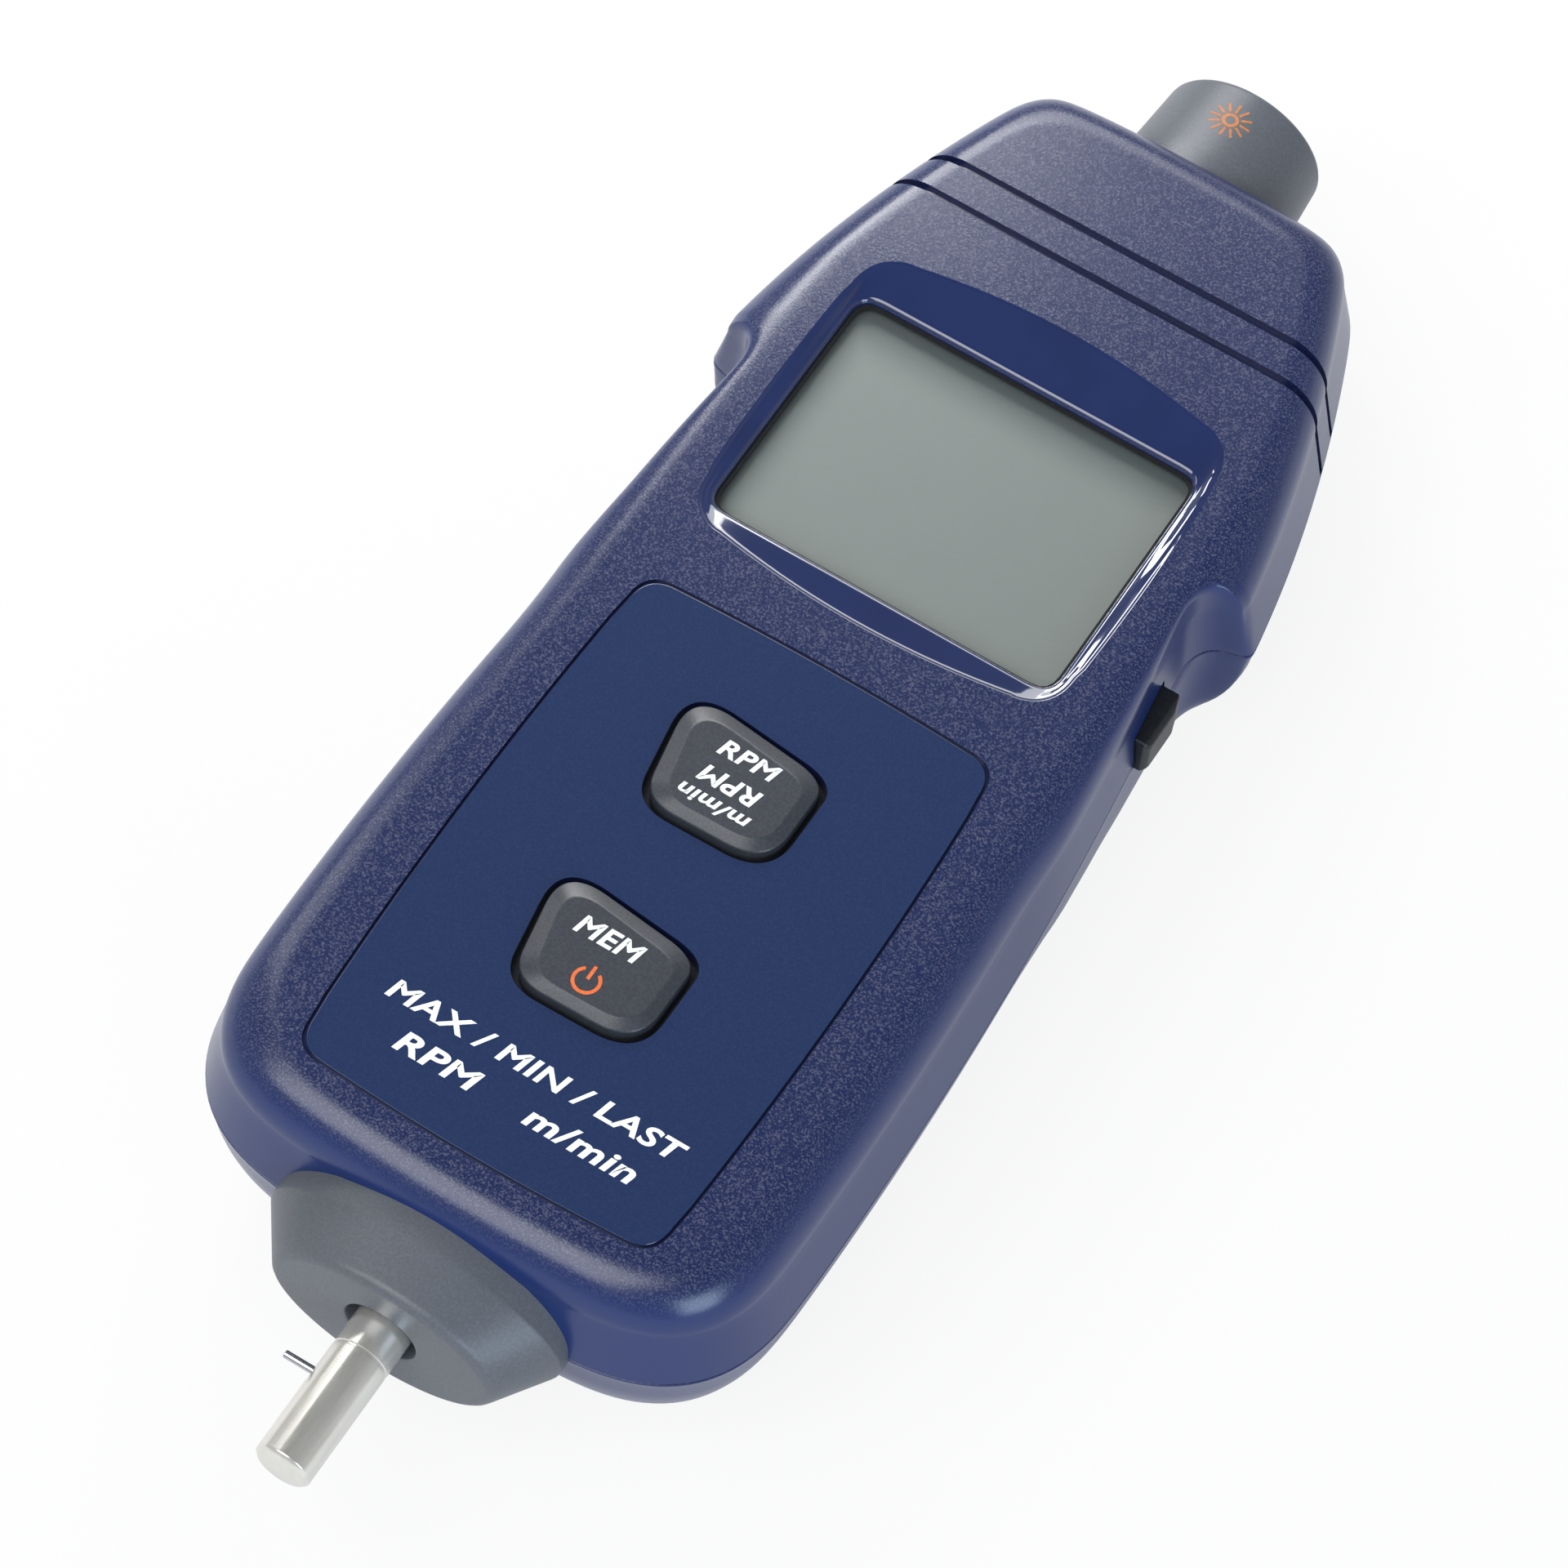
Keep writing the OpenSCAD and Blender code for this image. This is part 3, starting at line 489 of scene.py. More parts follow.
def shellPiece(name, outer, inner, look):  # case half: outer skin, cavity and the joint face
    n, m, q = len(outer[0]), len(outer), len(inner)
    faces = ringFaces(n, m) + ringFaces(n, q, m * n)
    faces += [[(m - 1) * n + i for i in range(n)], [(m + q - 1) * n + i for i in range(n)]]
    faces += [[i, (i + 1) % n, m * n + (i + 1) % n, m * n + i] for i in range(n)]
    return makePiece(name, [p for ring in outer + inner for p in ring], faces, look)


def topRings(less=0.0):
    p, low = inset(rim, less), case["bodyH"] - case["edgeDrop"] - less
    wall = section(case["draft"], case["shoulder"], 0, less)
    rings = [lifted(inset(p, case["seam"]), case["axisZ"]), lifted(inset(p, 0.08), case["axisZ"] + 0.14),
             lifted(p, case["axisZ"] + 0.3)]
    foot = case["axisZ"] + 0.3
    rings += [lifted(p + (wall - p) * k / 5, foot + (low - foot) * k / 5) for k in range(1, 6)]
    for degrees in range(5, 91, 5):
        a = math.radians(degrees)
        rings.append(lifted(section(case["draft"], case["shoulder"], 1 - math.cos(a), less),
                            low + case["edgeDrop"] * math.sin(a)))
    rings.append(lifted(inset(rings[-1][:, :2], 0.4), case["bodyH"] - less))
    return rings


def backRings():
    rings = [lifted(inset(rim, case["seam"]), case["axisZ"]), lifted(inset(rim, 0.08), case["axisZ"] - 0.14),
             lifted(rim, case["axisZ"] - 0.3)]
    for degrees in range(5, 91, 5):
        a = math.radians(degrees)
        outline = section(case["backLean"], case["under"], 1 - math.cos(a))
        rings.append(lifted(outline, case["backRise"] * (1 - math.sin(a))))
    rings.append(lifted(inset(rings[-1][:, :2], 0.4), 0.0))
    return rings


def backWall(w):  # outlines a distance w inside the back
    rings = [lifted(innerRim(w), case["axisZ"])]
    for degrees in (15, 35, 55, 75, 90):
        a, rise, under = math.radians(degrees), case["backRise"], case["under"]
        n = math.hypot(rise * math.cos(a), under * math.sin(a))
        d = case["backLean"] + under * (1 - math.cos(a)) + w * rise * math.cos(a) / n
        rings.append(lifted(innerRim(d), rise * (1 - math.sin(a)) + w * under * math.sin(a) / n))
    return rings


def bowed(w, y0, y1, sx, s0, s1, r, fine=10):  # rectangle with bowed sides
    a, m, b = w / 2, (y0 + y1) / 2, (y1 - y0) / 2
    x = np.linspace(0, a - r, 10)
    side = np.linspace(y1 - r, y0 + r, 22)[1:-1]
    topEnd = y1 + s1 * (1 - ((a - r) / a) ** 2)
    footEnd = y0 - s0 * (1 - ((a - r) / a) ** 2)
    half = np.vstack([
        np.column_stack([x, y1 + s1 * (1 - (x / a) ** 2)]),
        bez((a - r * 0.85, topEnd - 0.03), (a + sx * 0.05, y1), (a + sx * 0.1, y1 - r), fine),
        np.column_stack([a + sx * (1 - ((side - m) / b) ** 2), side]),
        bez((a + sx * 0.1, y0 + r), (a + sx * 0.05, y0), (a - r * 0.85, footEnd + 0.03), fine),
        np.column_stack([x[::-1], y0 - s0 * (1 - (x[::-1] / a) ** 2)])])
    return mirrored(half)


display = {"w": 46.2, "h": 34.5, "y": 34.4, "corner": 3.0, "sideRoom": 1.5, "footRoom": 2.0, "headRoom": 5.0,
           "sideBow": 0.7, "footBow": 2.8, "headBow": 3.4, "brimCorner": 5, "brimW": 0.55, "brimDrop": 0.325,
           "bandDrop": 0.55, "lip": 0.75, "softY": 47.0, "softSpan": 12.0, "softLeast": 0.22}


def aperture(shrink=0.0):
    low, high = display["y"] - display["h"] / 2 + shrink, display["y"] + display["h"] / 2 - shrink
    return bowed(display["w"] - 2 * shrink, low, high, 0.02, 0.02, 0.02, display["corner"] - shrink)


def surround():  # edge of the polished slope: a broad bow above, a flatter one below
    low = display["y"] - display["h"] / 2 - display["footRoom"]
    high = display["y"] + display["h"] / 2 + display["headRoom"]
    return bowed(display["w"] + 2 * display["sideRoom"], low, high, display["sideBow"], display["footBow"],
                 display["headBow"], display["brimCorner"])


overlay = {"w": 46.6, "h": 72.4, "y": -31.6, "thick": 0.5, "gap": 0.35, "sideBow": 1.2, "footBow": 0.9,
           "headBow": 0.7, "corner": 4}


def overlayRim(g):
    low, high = overlay["y"] - overlay["h"] / 2 - g, overlay["y"] + overlay["h"] / 2 + g
    return bowed(overlay["w"] + 2 * g, low, high, overlay["sideBow"], overlay["footBow"], overlay["headBow"],
                 overlay["corner"])


# corners from upper left, how far each is rounded, and steps of (growth, depth below the top, share of the slip)
keys = {"modeY": -13.4, "memoryY": -40.6, "rise": 1.6, "gap": 0.5, "slip": 0.35,
        "stemR": 2, "stemLow": 31.3, "stemHigh": 32.5, "holeLow": 30,
        "corners": [(-10.9, 8), (8.8, 6), (8.7, -7.5), (-8.3, -7.8)], "round": (0.32, 0.2, 0.34, 0.24),
        "steps": [(1.3, 5.2, 0), (1.3, 4.0, 0), (-0.3, 4.0, 0), (-0.3, 1.05, 0), (-0.35, 0.9, 0), (-0.47, 0.78, 0),
                  (-1.75, 0.1, 0.85), (-1.93, 0.03, 0.95), (-2.1, 0, 1)]}
keyTop = case["bodyH"] + keys["rise"]


def keyRim(y, g):  # skewed key outline, widest at its upper left
    corners = np.array(keys["corners"])
    c, share, parts = corners + g * np.sign(corners) + np.array((0, y)), keys["round"], []
    for i in range(4):
        before, after = c[(i + 3) % 4], c[(i + 1) % 4]
        parts.append(bez(c[i] + (before - c[i]) * share[i] * 1.1, c[i], c[i] + (after - c[i]) * share[i], 18))
    return np.vstack(parts)


groove = {"places": (73.7, 68.4), "w": 1.0, "depth": 0.6}
beyond = {"side": 50, "above": 40, "below": -1}  # how far cutters reach past the case
nose = {"baseR": 11.4, "tipR": 10.66, "bore": 9.2, "back": 84, "front": 105.0, "edge": 0.7, "room": 0.1}
collar = {"w": 19.1, "h": 11.0}
side = {"y": 26.4, "z": 22.9, "l": 8.4, "h": 6.2, "out": 34.4, "inX": 28.6, "gap": 0.35, "corner": 0.5}


def headGroove(y):  # cutter that follows the head at one depth
    half = groove["w"] / 2
    band = boxPiece("grooveBand", (-beyond["side"], y - half, case["axisZ"] + 0.5),
                    (beyond["side"], y + half, beyond["above"]))
    cut(band, [loftPiece("grooveFloor", topRings(groove["depth"]), "groove")])
    return band


def ovalRing(a, b, y, count=160):
    angles = np.linspace(0, 2 * math.pi, count, endpoint=False)
    return [(a * math.cos(t), y, case["axisZ"] + b * math.sin(t)) for t in angles]


def caseHoles():  # openings that both case halves share
    r, run, high = nose["baseR"] + nose["room"], side["l"] / 2 + side["gap"], side["h"] / 2 + side["gap"]
    return [revolvePiece("noseHole", [(r, 80), (r, 110)], "groove", 160),
            loftPiece("collarHole", [ovalRing(collar["w"], collar["h"], y) for y in (-95, -70)], "groove"),
            boxPiece("sideSlot", (20, side["y"] - run, side["z"] - high),
                     (45, side["y"] + run, side["z"] + high))]


def place(piece, body, node):  # piece stands for a node and moves with its body
    evenShading(piece)
    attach(piece, body)
    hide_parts(node)


window = {"halfW": 25, "halfH": 19.25, "low": 32, "high": 34.4}  # seat of the window under the face


def displaySlope():  # cutter for the recess: brim, nearly flat polished band, rolled lip, opening
    brim, top, band, lip = surround(), case["bodyH"], display["bandDrop"], display["lip"]
    # the brim is crisp at the foot and sides and soft at the head
    crisp = np.clip((display["softY"] - brim[:, 1]) / display["softSpan"], display["softLeast"], 1)
    steps = [(-0.2, 4.0), (-0.2, 0.001), (-0.1, -0.02), (0.0, -0.07), (0.12, -0.17), (0.25, -0.25), (0.4, -0.3),
             (display["brimW"], -display["brimDrop"])]
    rings = [np.column_stack([inset(brim, d), top + np.where(z < 0, z * crisp, z)]) for d, z in steps]
    outer, inner, edge = inset(brim, display["brimW"]), aperture(-lip), display["brimDrop"] * crisp
    for k in range(1, 5):
        rings.append(np.column_stack([outer + (inner - outer) * k / 4, top - edge - (band - edge) * k / 4]))
    for degrees in range(15, 91, 15):
        t = math.radians(degrees)
        rings.append(lifted(aperture(-lip * (1 - math.sin(t))), top - band - lip * (1 - math.cos(t))))
    rings.append(lifted(aperture(), window["low"] + 1))
    return loftPiece("displaySlope", rings, "polished", 50)


# cavity: drafted walls, then a shoulder under the flat face
drafted = case["wall"] + case["draft"]
cavity = [lifted(innerRim(case["wall"]), case["axisZ"]), lifted(innerRim(drafted), case["bendZ"]),
          lifted(innerRim(drafted + 1.5), innerTop - 1.6), lifted(innerRim(case["shoulder"]), innerTop)]
topCase = shellPiece("topCaseSkin", topRings(), cavity, "case")
pocket = slabPiece("overlayPocket", overlayRim(overlay["gap"]), case["bodyH"] - overlay["thick"], beyond["above"])
keyPlaces = (keys["modeY"], keys["memoryY"])
keyHoles = [slabPiece("keyHole", keyRim(y, keys["gap"]), keys["holeLow"], beyond["above"])
            for y in keyPlaces]
rabbet = boxPiece("windowRabbet", (-window["halfW"], display["y"] - window["halfH"], window["low"]),
                  (window["halfW"], display["y"] + window["halfH"], window["high"]))
headGrooves = [headGroove(y) for y in groove["places"]]
cut(topCase, [displaySlope(), rabbet, pocket] + keyHoles + headGrooves + caseHoles())
finishMesh(topCase, 30)
place(topCase, "case", "top_case")
print("top case made")

door = {"w": 26.0, "thick": 4.2, "gap": 0.3, "front": 3.6, "tongue": 1.3, "rail": 2.6, "pocket": 2.0, "rim": 2.6,
        "frontRim": 2.4, "pocketFoot": -57}
grip = {"count": 7, "start": -60, "pitch": 2.4, "w": 1.1, "half": 10, "depth": 0.6}
bay = {"x": 27.4, "low": -55.85, "high": 3.25, "top": 19.6, "wall": 1.5, "skin": 1.6, "floor": 6.4}
screws = {"post": 3.7, "hole": 1.5, "seat": 2.9}
posts = [(18, 76, 6), (-18, 76, 6), (24, 9.5, 6), (-24, 9.5, 6), (22, -64, 7.5), (-22, -64, 7.5)]  # x, y, screw seat


def zCylinder(name, x, y, r, low, high, look="groove", turns=48):
    angles = [2 * math.pi * i / turns for i in range(turns)]
    return slabPiece(name, [(x + r * math.cos(a), y + r * math.sin(a)) for a in angles], low, high, look)


bottomCase = shellPiece("bottomCaseSkin", backRings(), backWall(case["wall"]), "case")
bayBlock = boxPiece("bayBlock", (-bay["x"] - bay["skin"], bay["low"] - bay["wall"], 0),
                    (bay["x"] + bay["skin"], bay["high"] + bay["wall"], bay["top"] + bay["skin"]))
footFloor = boxPiece("footFloor", (-33, -78, 0), (33, bay["low"] - 1, bay["floor"]))
postTop = case["axisZ"] + 1
cut(bayBlock, [footFloor] + [zCylinder("post", x, y, screws["post"], 0, postTop) for x, y, seat in posts],
    "UNION")
cut(bayBlock, [loftPiece("midWall", backWall(case["wall"] / 2), "groove")], "INTERSECT")
cut(bottomCase, [bayBlock], "UNION")
slideway = 95  # the cover's way out at the foot
gapW, gapFront = door["w"] + door["gap"], door["front"] + door["gap"]
openings = [
    boxPiece("bayHollow", (-bay["x"], bay["low"], door["rail"] + 0.4), (bay["x"], bay["high"], bay["top"])),
    boxPiece("doorway", (-gapW, -slideway, beyond["below"]), (gapW, gapFront, door["rail"] + 0.1)),
    boxPiece("doorSlot", (-gapW - door["tongue"], -slideway, door["rail"]),
             (gapW + door["tongue"], gapFront, door["thick"] + door["gap"]))]
openings += [zCylinder("screwHole", x, y, screws["hole"], beyond["below"], postTop) for x, y, seat in posts]
openings += [zCylinder("screwSeat", x, y, screws["seat"], beyond["below"], seat) for x, y, seat in posts]
cut(bottomCase, openings + caseHoles())
finishMesh(bottomCase, 30)
place(bottomCase, "case", "bottom_case")
print("bottom case made")

doorSkin = loftPiece("batteryDoorSkin", backRings(), "case")
plate = boxPiece("doorPlate", (-door["w"], -slideway, beyond["below"]),
                 (door["w"], door["front"], door["thick"]), "case")
tongue = boxPiece("doorTongue", (-door["w"] - door["tongue"], -slideway, door["rail"] + door["gap"]),
                  (door["w"] + door["tongue"], door["front"], door["thick"]), "case")
cut(plate, [tongue], "UNION")
cut(doorSkin, [plate], "INTERSECT")
hollow = boxPiece("doorPocket", (door["rim"] - door["w"], door["pocketFoot"], door["pocket"]),
                  (door["w"] - door["rim"], door["front"] - door["frontRim"], door["thick"] + 1.8))
gripRows = [grip["start"] + grip["pitch"] * i for i in range(grip["count"])]
gripGrooves = [boxPiece("gripGroove", (-grip["half"], y, beyond["below"]),
                        (grip["half"], y + grip["w"], grip["depth"])) for y in gripRows]
cut(doorSkin, [hollow] + gripGrooves)
finishMesh(doorSkin, 30)
place(doorSkin, "battery_door", "battery_door")
print("battery cover made")

# overlay film with a fine rounded edge, open round the keys
filmRings = [lifted(overlayRim(0), z) for z in (case["bodyH"] - overlay["thick"], case["bodyH"] - 0.1)]
filmRings += [lifted(overlayRim(-0.04), case["bodyH"] - 0.03), lifted(overlayRim(-0.12), case["bodyH"])]
film = loftPiece("overlayFilmSkin", filmRings, "overlay")
cut(film, [slabPiece("filmHole", keyRim(y, keys["gap"]), 34, 38) for y in keyPlaces])
finishMesh(film)
place(film, "case", "panel_overlay")


def keyPiece(name, y):  # flange under the face, straight sides, broad bevel with softened edges
    rings = [lifted(keyRim(y, g) + np.array((slip, -slip)) * keys["slip"], keyTop - depth)
             for g, depth, slip in keys["steps"]]
    cap = loftPiece(name, rings, "key", 40)
    return joinPieces(cap, [zCylinder("keyStem", 0, y, keys["stemR"], keys["stemLow"], keys["stemHigh"], "key")])


place(keyPiece("modeKeySkin", keys["modeY"]), "mode_key", "mode_key")
place(keyPiece("memoryKeySkin", keys["memoryY"]), "memory_key", "memory_key")
print("keys and overlay made")


def buttonRing(x, foot, head, z):  # outline of the side button in y and z, with small corners
    r = side["corner"]
    y0, y1 = side["y"] - side["l"] / 2 + foot + r, side["y"] + side["l"] / 2 - head - r
    z0, z1 = side["z"] - side["h"] / 2 + z + r, side["z"] + side["h"] / 2 - z - r
    corners = ((y1, z1, 0), (y0, z1, 90), (y0, z0, 180), (y1, z0, 270))
    turns = [math.radians(15 * k) for k in range(7)]
    return [(x, cy + r * math.cos(math.radians(a) + t), cz + r * math.sin(math.radians(a) + t))
            for cy, cz, a in corners for t in turns]


buttonIn, buttonOut = side["inX"], side["out"]  # steps of x, and how far the foot, head and both edges draw in
buttonSteps = [(buttonIn - 0.9, -1.2, -1.2, -0.8), (buttonIn + 0.2, -1.2, -1.2, -0.8), (buttonIn + 0.2, 0, 0, 0),
               (buttonOut - 0.85, 0, 0, 0), (buttonOut - 0.6, 0.06, 0.2, 0.08), (buttonOut - 0.15, 0.4, 1.7, 0.5),
               (buttonOut, 0.65, 2.1, 0.75)]
button = loftPiece("measureButtonSkin", [buttonRing(*step) for step in buttonSteps], "rubber", 40)
place(button, "measure_button", "measure_button")

# collar: oval boss that narrows to the shaft, softened edges, bore and bearing seat behind
w, h = collar["w"], collar["h"]
collarOutside = [(w, h, -74.0), (w, h, -79.0), (w - 0.05, h - 0.01, -79.2), (w - 0.2, h - 0.04, -79.45),
                 (15.05, 10.52, -85.0), (14.8, 10.44, -85.35), (14.5, 10.2, -85.75), (14.1, 9.8, -86.05),
                 (13.6, 9.3, -86.2)]  # half width, half height, y
collarBore = [(5.0, -86.2), (4.7, -86.1), (4.6, -85.9), (4.6, -83.5), (7.0, -83.5), (7.0, -74.0)]  # radius, y
collarRings = [ovalRing(a, b, y) for a, b, y in collarOutside] + [ovalRing(r, r, y) for r, y in collarBore]
place(tubePiece("shaftCollarSkin", collarRings, "grey"), "case", "shaft_collar")

# nose barrel: slight taper, rolled front edge
wide, tip, bore, front = nose["baseR"], nose["tipR"], nose["bore"], nose["front"]
noseProfile = [(wide + nose["room"], nose["back"]), (wide + nose["room"], case["headEnd"] - 0.4),
               (wide, case["headEnd"]), (tip, front - nose["edge"]), (tip - 0.06, front - 0.4),
               (tip - 0.21, front - 0.15), (tip - 0.46, front), (bore + 0.25, front), (bore + 0.08, front - 0.05),
               (bore, front - 0.2), (bore, nose["back"])]
noseRings = [ovalRing(r, r, y) for r, y in noseProfile]
place(tubePiece("noseBarrelSkin", noseRings, "grey"), "case", "nose_barrel")

# measuring shaft: turned, small chamfer, a scribed ring and the cross pin
shaft = {"r": 3.5, "tip": -105.7, "ring": -90.25, "inner": -58.0, "pinY": -94.0, "pinR": 0.48, "pinOut": 7.3}
r, tip, ring, inner = (shaft[key] for key in ("r", "tip", "ring", "inner"))
shaftProfile = [(0.01, tip), (r - 0.5, tip), (r - 0.43, tip + 0.02), (r - 0.05, tip + 0.38), (r, tip + 0.5),
                (r, ring - 0.25), (r - 0.12, ring - 0.15), (r - 0.12, ring + 0.15), (r, ring + 0.25),
                (r, inner - 0.3), (r - 0.3, inner), (0.01, inner)]
shaftSkin = revolvePiece("driveShaftSkin", shaftProfile, "nickel", 96)
place(shaftSkin, "shaft", "drive_shaft")
pinR, pinOut = shaft["pinR"], shaft["pinOut"]
pinSteps = [(pinR - 0.01, -1.0), (pinR, -1.2), (pinR, 0.12 - pinOut), (pinR - 0.06, 0.04 - pinOut),
            (pinR - 0.18, -pinOut)]  # radius, x
pinAngles = [2 * math.pi * i / 32 for i in range(32)]
pinRings = [[(x, shaft["pinY"] + r * math.cos(a), case["axisZ"] + r * math.sin(a)) for a in pinAngles]
            for r, x in pinSteps]
place(loftPiece("drivePinSkin", pinRings, "bearing"), "shaft", "drive_pin")
print("collar, nose, shaft and button made")


ink = {"thick": 0.03, "sunk": 0.02, "shear": 0.2, "heavy": 0.026, "spacing": 1.06, "blunt": 0.6,
       "draft": 0.1}


def printed(piece, body):  # print moves with the piece that carries it
    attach(piece, body)


def heavier(mesh):  # pushes each letter's outline out evenly, so that sharp inner corners don't spike
    work = bmesh.new()
    work.from_mesh(mesh)
    bmesh.ops.remove_doubles(work, verts=work.verts, dist=0.0001)
    bmesh.ops.recalc_face_normals(work, faces=work.faces)
    pushes = []
    for vertex in work.verts:
        walls = [face.normal for face in vertex.link_faces if abs(face.normal.z) < 0.5]
        out = sum(walls, Vector()).normalized()
        pushes.append(out * ink["heavy"] / max(min(out.dot(wall) for wall in walls), ink["blunt"]))
    for vertex, push in zip(work.verts, pushes):
        vertex.co += push
    work.to_mesh(mesh)
    work.free()


def legend(words):  # slanted heavy sans, fitted to a width and height
    letters = bpy.data.curves.new(words["name"], "FONT")
    letters.body = words["text"]
    letters.shear = ink["shear"]
    letters.space_character = ink["spacing"]
    letters.extrude = ink["draft"]
    letters.resolution_u = 6
    drawn = bpy.data.objects.new(words["name"], letters)
    bpy.context.scene.collection.objects.link(drawn)
    graph = bpy.context.evaluated_depsgraph_get()
    mesh = bpy.data.meshes.new_from_object(drawn.evaluated_get(graph))
    bpy.data.objects.remove(drawn)
    heavier(mesh)
    spots = np.array([v.co for v in mesh.vertices])
    middle, reach = (spots.max(0) + spots.min(0)) / 2, spots.max(0) - spots.min(0)
    turn = -1 if words.get("turned") else 1
    x, y = words["at"]
    for vertex in mesh.vertices:
        u = (vertex.co - Vector(middle)) * turn
        z = words["top"] + (ink["thick"] if vertex.co.z > middle[2] else -ink["sunk"])
        vertex.co = Vector((x + u.x * words["w"] / reach[0], y + u.y * words["h"] / reach[1], z)) * mm
    mesh.materials.clear()
    mesh.materials.append(looks["ink"])
    piece = bpy.data.objects.new(words["name"], mesh)
    bpy.context.scene.collection.objects.link(piece)
    printed(piece, words["body"])


# thin print from strokes of paired points; spot maps u, v and height to the surface
def bandPiece(name, strokes, spot, look):
    points, faces = [], []
    for left, right in strokes:
        n, start = len(left), len(points)
        rows = [[spot(u, v, h) for u, v in edge] for h in (-ink["sunk"], ink["thick"]) for edge in (left, right)]
        points += [p for row in rows for p in row]
        for i in range(n - 1):
            for a, b in ((0, 1), (1, 3), (3, 2), (2, 0)):
                faces.append([start + a * n + i, start + a * n + i + 1, start + b * n + i + 1, start + b * n + i])
        for i in (0, n - 1):
            faces.append([start + k * n + i for k in (0, 1, 3, 2)])
    return makePiece(name, points, faces, look)


def arcStroke(radius, width, start, end, count=48):  # part of a ring, angles in degrees
    angles = [math.radians(start + (end - start) * i / count) for i in range(count + 1)]
    return [[(r * math.cos(a), r * math.sin(a)) for a in angles] for r in (radius - width / 2, radius + width / 2)]


def rayStroke(inner, outer, width, degrees):  # short bar that points away from the middle
    c, t = math.cos(math.radians(degrees)), math.sin(math.radians(degrees))
    return [[(r * c - w * t, r * t + w * c) for r in np.linspace(inner, outer, 6)] for w in (-width / 2, width / 2)]


faceTop = case["bodyH"]
legends = [
    {"name": "modeLegend", "text": "RPM", "at": (-0.15, -10.6), "w": 7.6, "h": 2.2, "top": keyTop,
     "body": "mode_key"},
    {"name": "modeLegendTurned", "text": "RPM", "at": (-0.3, -14.6), "w": 7.7, "h": 2.3, "top": keyTop,
     "body": "mode_key", "turned": True},
    {"name": "speedLegendTurned", "text": "m/min", "at": (-0.5, -17.8), "w": 9.2, "h": 1.9, "top": keyTop,
     "body": "mode_key", "turned": True},
    {"name": "memoryLegend", "text": "MEM", "at": (-1.0, -38.5), "w": 8.4, "h": 2.5, "top": keyTop,
     "body": "memory_key"},
    {"name": "memoryListLegend", "text": "MAX / MIN / LAST", "at": (0.6, -56.0), "w": 38.4, "h": 2.6, "top": faceTop,
     "body": "case"},
    {"name": "unitLegend", "text": "RPM    m/min", "at": (1.2, -61.0), "w": 31.0, "h": 2.8, "top": faceTop,
     "body": "case"},
]
for words in legends:
    legend(words)
power = {"x": -0.4, "y": -44.3, "radius": 1.55, "width": 0.42, "barFrom": 0.2, "barTo": 2.05,
         "start": 125, "end": 415}


def onKey(u, v, h):  # lays the power mark on the memory key
    return power["x"] + u, power["y"] + v, keyTop + h


powerStrokes = [arcStroke(power["radius"], power["width"], power["start"], power["end"]),
                rayStroke(power["barFrom"], power["barTo"], power["width"], 90)]
powerMark = bandPiece("powerMark", powerStrokes, onKey, "orangeInk")
printed(powerMark, "memory_key")
beam = {"x": 0.2, "y": 99.5, "ring": 0.85, "ringW": 0.48, "rays": 12, "from": 1.3, "to": 2.7, "width": 0.32}


def onNose(u, v, h):  # wraps the beam mark round the tapered barrel
    share = (beam["y"] + v - case["headEnd"]) / (nose["front"] - nose["edge"] - case["headEnd"])
    r = nose["baseR"] - (nose["baseR"] - nose["tipR"]) * share + h
    turn = (u - beam["x"]) / r
    return r * math.sin(turn), beam["y"] + v, case["axisZ"] + r * math.cos(turn)


beamStrokes = [arcStroke(beam["ring"], beam["ringW"], 0, 360)]
beamStrokes += [rayStroke(beam["from"], beam["to"], beam["width"], 360 * i / beam["rays"])
                for i in range(beam["rays"])]
beamMark = bandPiece("beamMark", beamStrokes, onNose, "fadedInk")
printed(beamMark, "case")
print("legends and marks made")

# camera at the photograph's place, solved from the display opening, overlay, shaft end and nose
view = {"place": (176.0, -357.6, 716.4), "lens": 8500 / 1920 * 36, "right": (0.8485, 0.5263, 0.0546),
        "up": (-0.4816, 0.7253, 0.4919), "back": (0.2193, -0.4437, 0.8689)}
camera = bpy.data.objects.new("photoCamera", bpy.data.cameras.new("photoCamera"))
bpy.context.scene.collection.objects.link(camera)
camera.data.lens = view["lens"]
camera.data.sensor_width = 36
camera.data.clip_end = 50
axes = Matrix((view["right"], view["up"], view["back"])).transposed()
camera.matrix_world = Matrix.Translation(Vector(view["place"]) * mm) @ axes.to_4x4()
bpy.context.scene.camera = camera
print("camera set")

# pale floor: white to the camera, with a soft shadow left in it, and dimmer in mirrors
floorLook = {"paint": "#e2e2e2", "seen": 0.88, "mirrored": 0.35, "half": 4, "z": -0.0002}
floorMaterial = bpy.data.materials.new("paleStudioFloor")
floorMaterial.use_nodes = True
floorTree = floorMaterial.node_tree
floorTree.nodes.clear()
lightPath = addNode(floorTree, "ShaderNodeLightPath", {}, {})
floorPaint = addNode(floorTree, "ShaderNodeBsdfDiffuse", {"Color": toLinear(floorLook["paint"])}, {})
floorGlow = addNode(floorTree, "ShaderNodeEmission", {"Color": (1, 1, 1, 1), "Strength": 1.0}, {})
seen = addNode(floorTree, "ShaderNodeMath", {"operation": "MAXIMUM"},
               {0: (lightPath, "Is Camera Ray"), 1: (lightPath, "Is Transmission Ray")})
seenShare = addNode(floorTree, "ShaderNodeMapRange", {"To Max": floorLook["seen"]}, {"Value": (seen, "Value")})
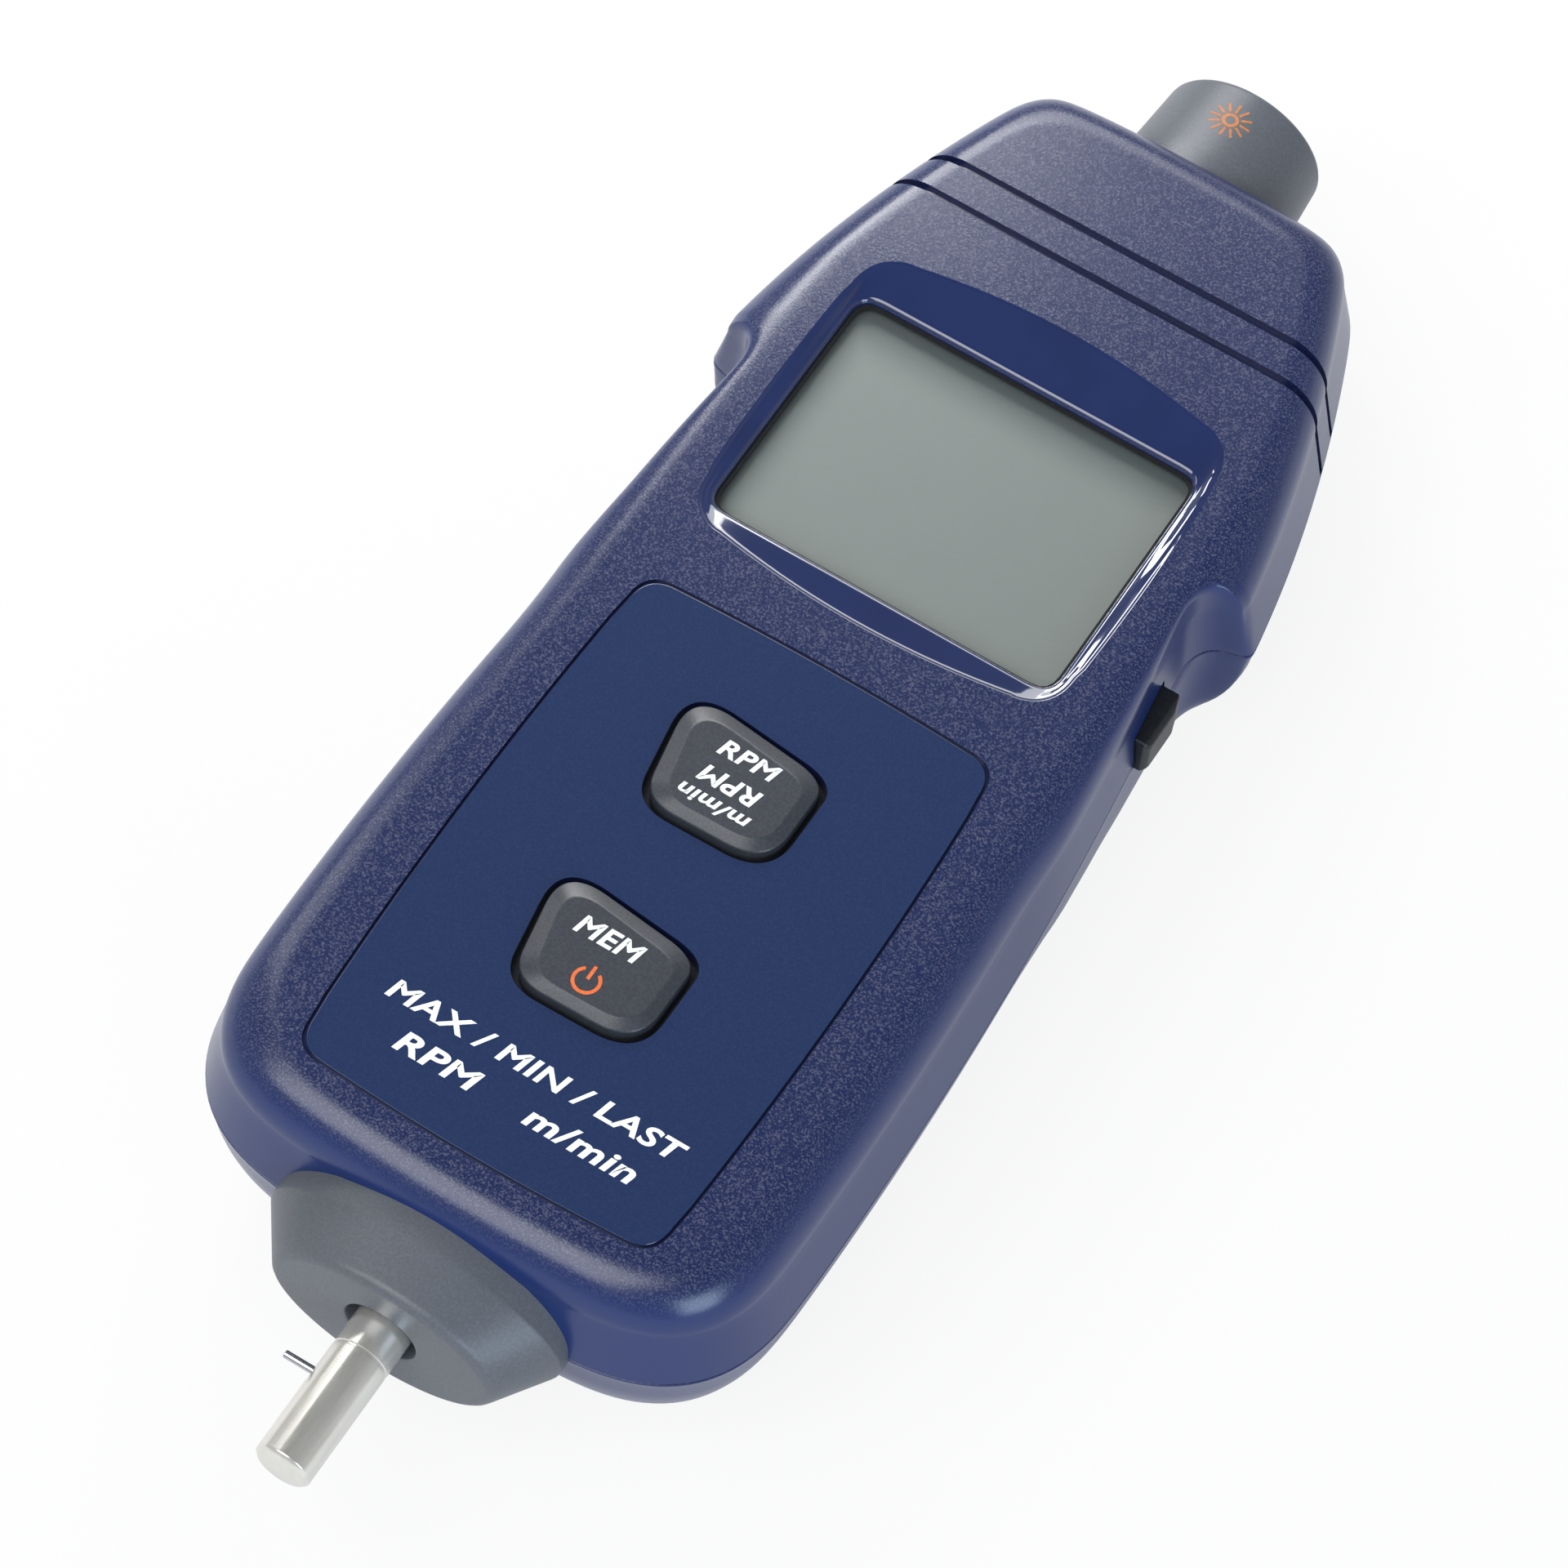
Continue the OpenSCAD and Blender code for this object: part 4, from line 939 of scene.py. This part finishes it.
mirrorShare = addNode(floorTree, "ShaderNodeMapRange", {"To Max": floorLook["mirrored"]},
                      {"Value": (lightPath, "Is Glossy Ray")})
floorShare = addNode(floorTree, "ShaderNodeMath", {"operation": "MAXIMUM"},
                     {0: (seenShare, "Result"), 1: (mirrorShare, "Result")})
floorMix = addNode(floorTree, "ShaderNodeMixShader", {}, {"Fac": (floorShare, "Value")})
floorTree.links.new(floorPaint.outputs["BSDF"], floorMix.inputs[1])
floorTree.links.new(floorGlow.outputs["Emission"], floorMix.inputs[2])
addNode(floorTree, "ShaderNodeOutputMaterial", {}, {"Surface": (floorMix, "Shader")})
floorMesh = bpy.data.meshes.new("floor")
half = floorLook["half"]
floorCorners = [(x, y, floorLook["z"]) for x, y in ((-half, -half), (half, -half), (half, half), (-half, half))]
floorMesh.from_pydata(floorCorners, [], [[0, 1, 2, 3]])
floorMesh.materials.append(floorMaterial)
floor = bpy.data.objects.new("floor", floorMesh)
bpy.context.scene.collection.objects.link(floor)

# sky: brighter at the horizon than overhead
sky = {"horizon": 0.55, "overhead": 0.1}
world = bpy.data.worlds.new("studio")
bpy.context.scene.world = world
world.use_nodes = True
skyTree = world.node_tree
background = skyTree.nodes["Background"]
background.inputs["Color"].default_value = (1, 1, 1, 1)
skyCoord = addNode(skyTree, "ShaderNodeTexCoord", {}, {})
skyAxes = addNode(skyTree, "ShaderNodeSeparateXYZ", {}, {"Vector": (skyCoord, "Generated")})
skyLevel = addNode(skyTree, "ShaderNodeMapRange", {"To Min": sky["horizon"], "To Max": sky["overhead"]},
                   {"Value": (skyAxes, "Z")})
skyTree.links.new(skyLevel.outputs["Result"], background.inputs["Strength"])

# small softboxes near on the left for the head, shaft and display lips, a large one high in front for the foot,
# a bluish fill on the right, and nothing straight above, where the film and window mirror
lamps = [
    {"name": "headSoftbox", "place": (-0.09, 0.178, 0.18), "size": 0.05, "watts": 0.062, "tint": (1, 1, 1)},
    {"name": "leftSoftbox", "place": (-0.21, 0.22, 0.21), "size": 0.08, "watts": 0.3, "tint": (1, 1, 1)},
    {"name": "shaftStrip", "place": (-0.235, 0.05, 0.22), "size": 0.05, "tall": 0.22, "watts": 0.11,
     "tint": (1, 1, 1)},
    {"name": "backLeftSoftbox", "place": (-0.18, 0.38, 0.28), "size": 0.22, "watts": 0.7, "tint": (1, 1, 1)},
    {"name": "frontSoftbox", "place": (-0.24, -0.6, 1.0), "size": 0.9, "watts": 10.5, "tint": (1, 1, 1)},
    {"name": "rightSoftbox", "place": (0.8, -0.5, 0.4), "size": 0.5, "watts": 4.5, "tint": (0.66, 0.82, 1)},
]
for lamp in lamps:
    light = bpy.data.lights.new(lamp["name"], "AREA")
    light.energy = lamp["watts"]
    light.shape = "RECTANGLE"
    light.size = lamp["size"]
    light.size_y = lamp.get("tall", lamp["size"])
    light.color = lamp["tint"]
    holder = bpy.data.objects.new(lamp["name"], light)
    bpy.context.scene.collection.objects.link(holder)
    holder.location = lamp["place"]
    holder.rotation_euler = (-Vector(lamp["place"])).to_track_quat("-Z", "Y").to_euler()
bpy.context.scene.view_settings.view_transform = "Standard"
print("light and floor set")
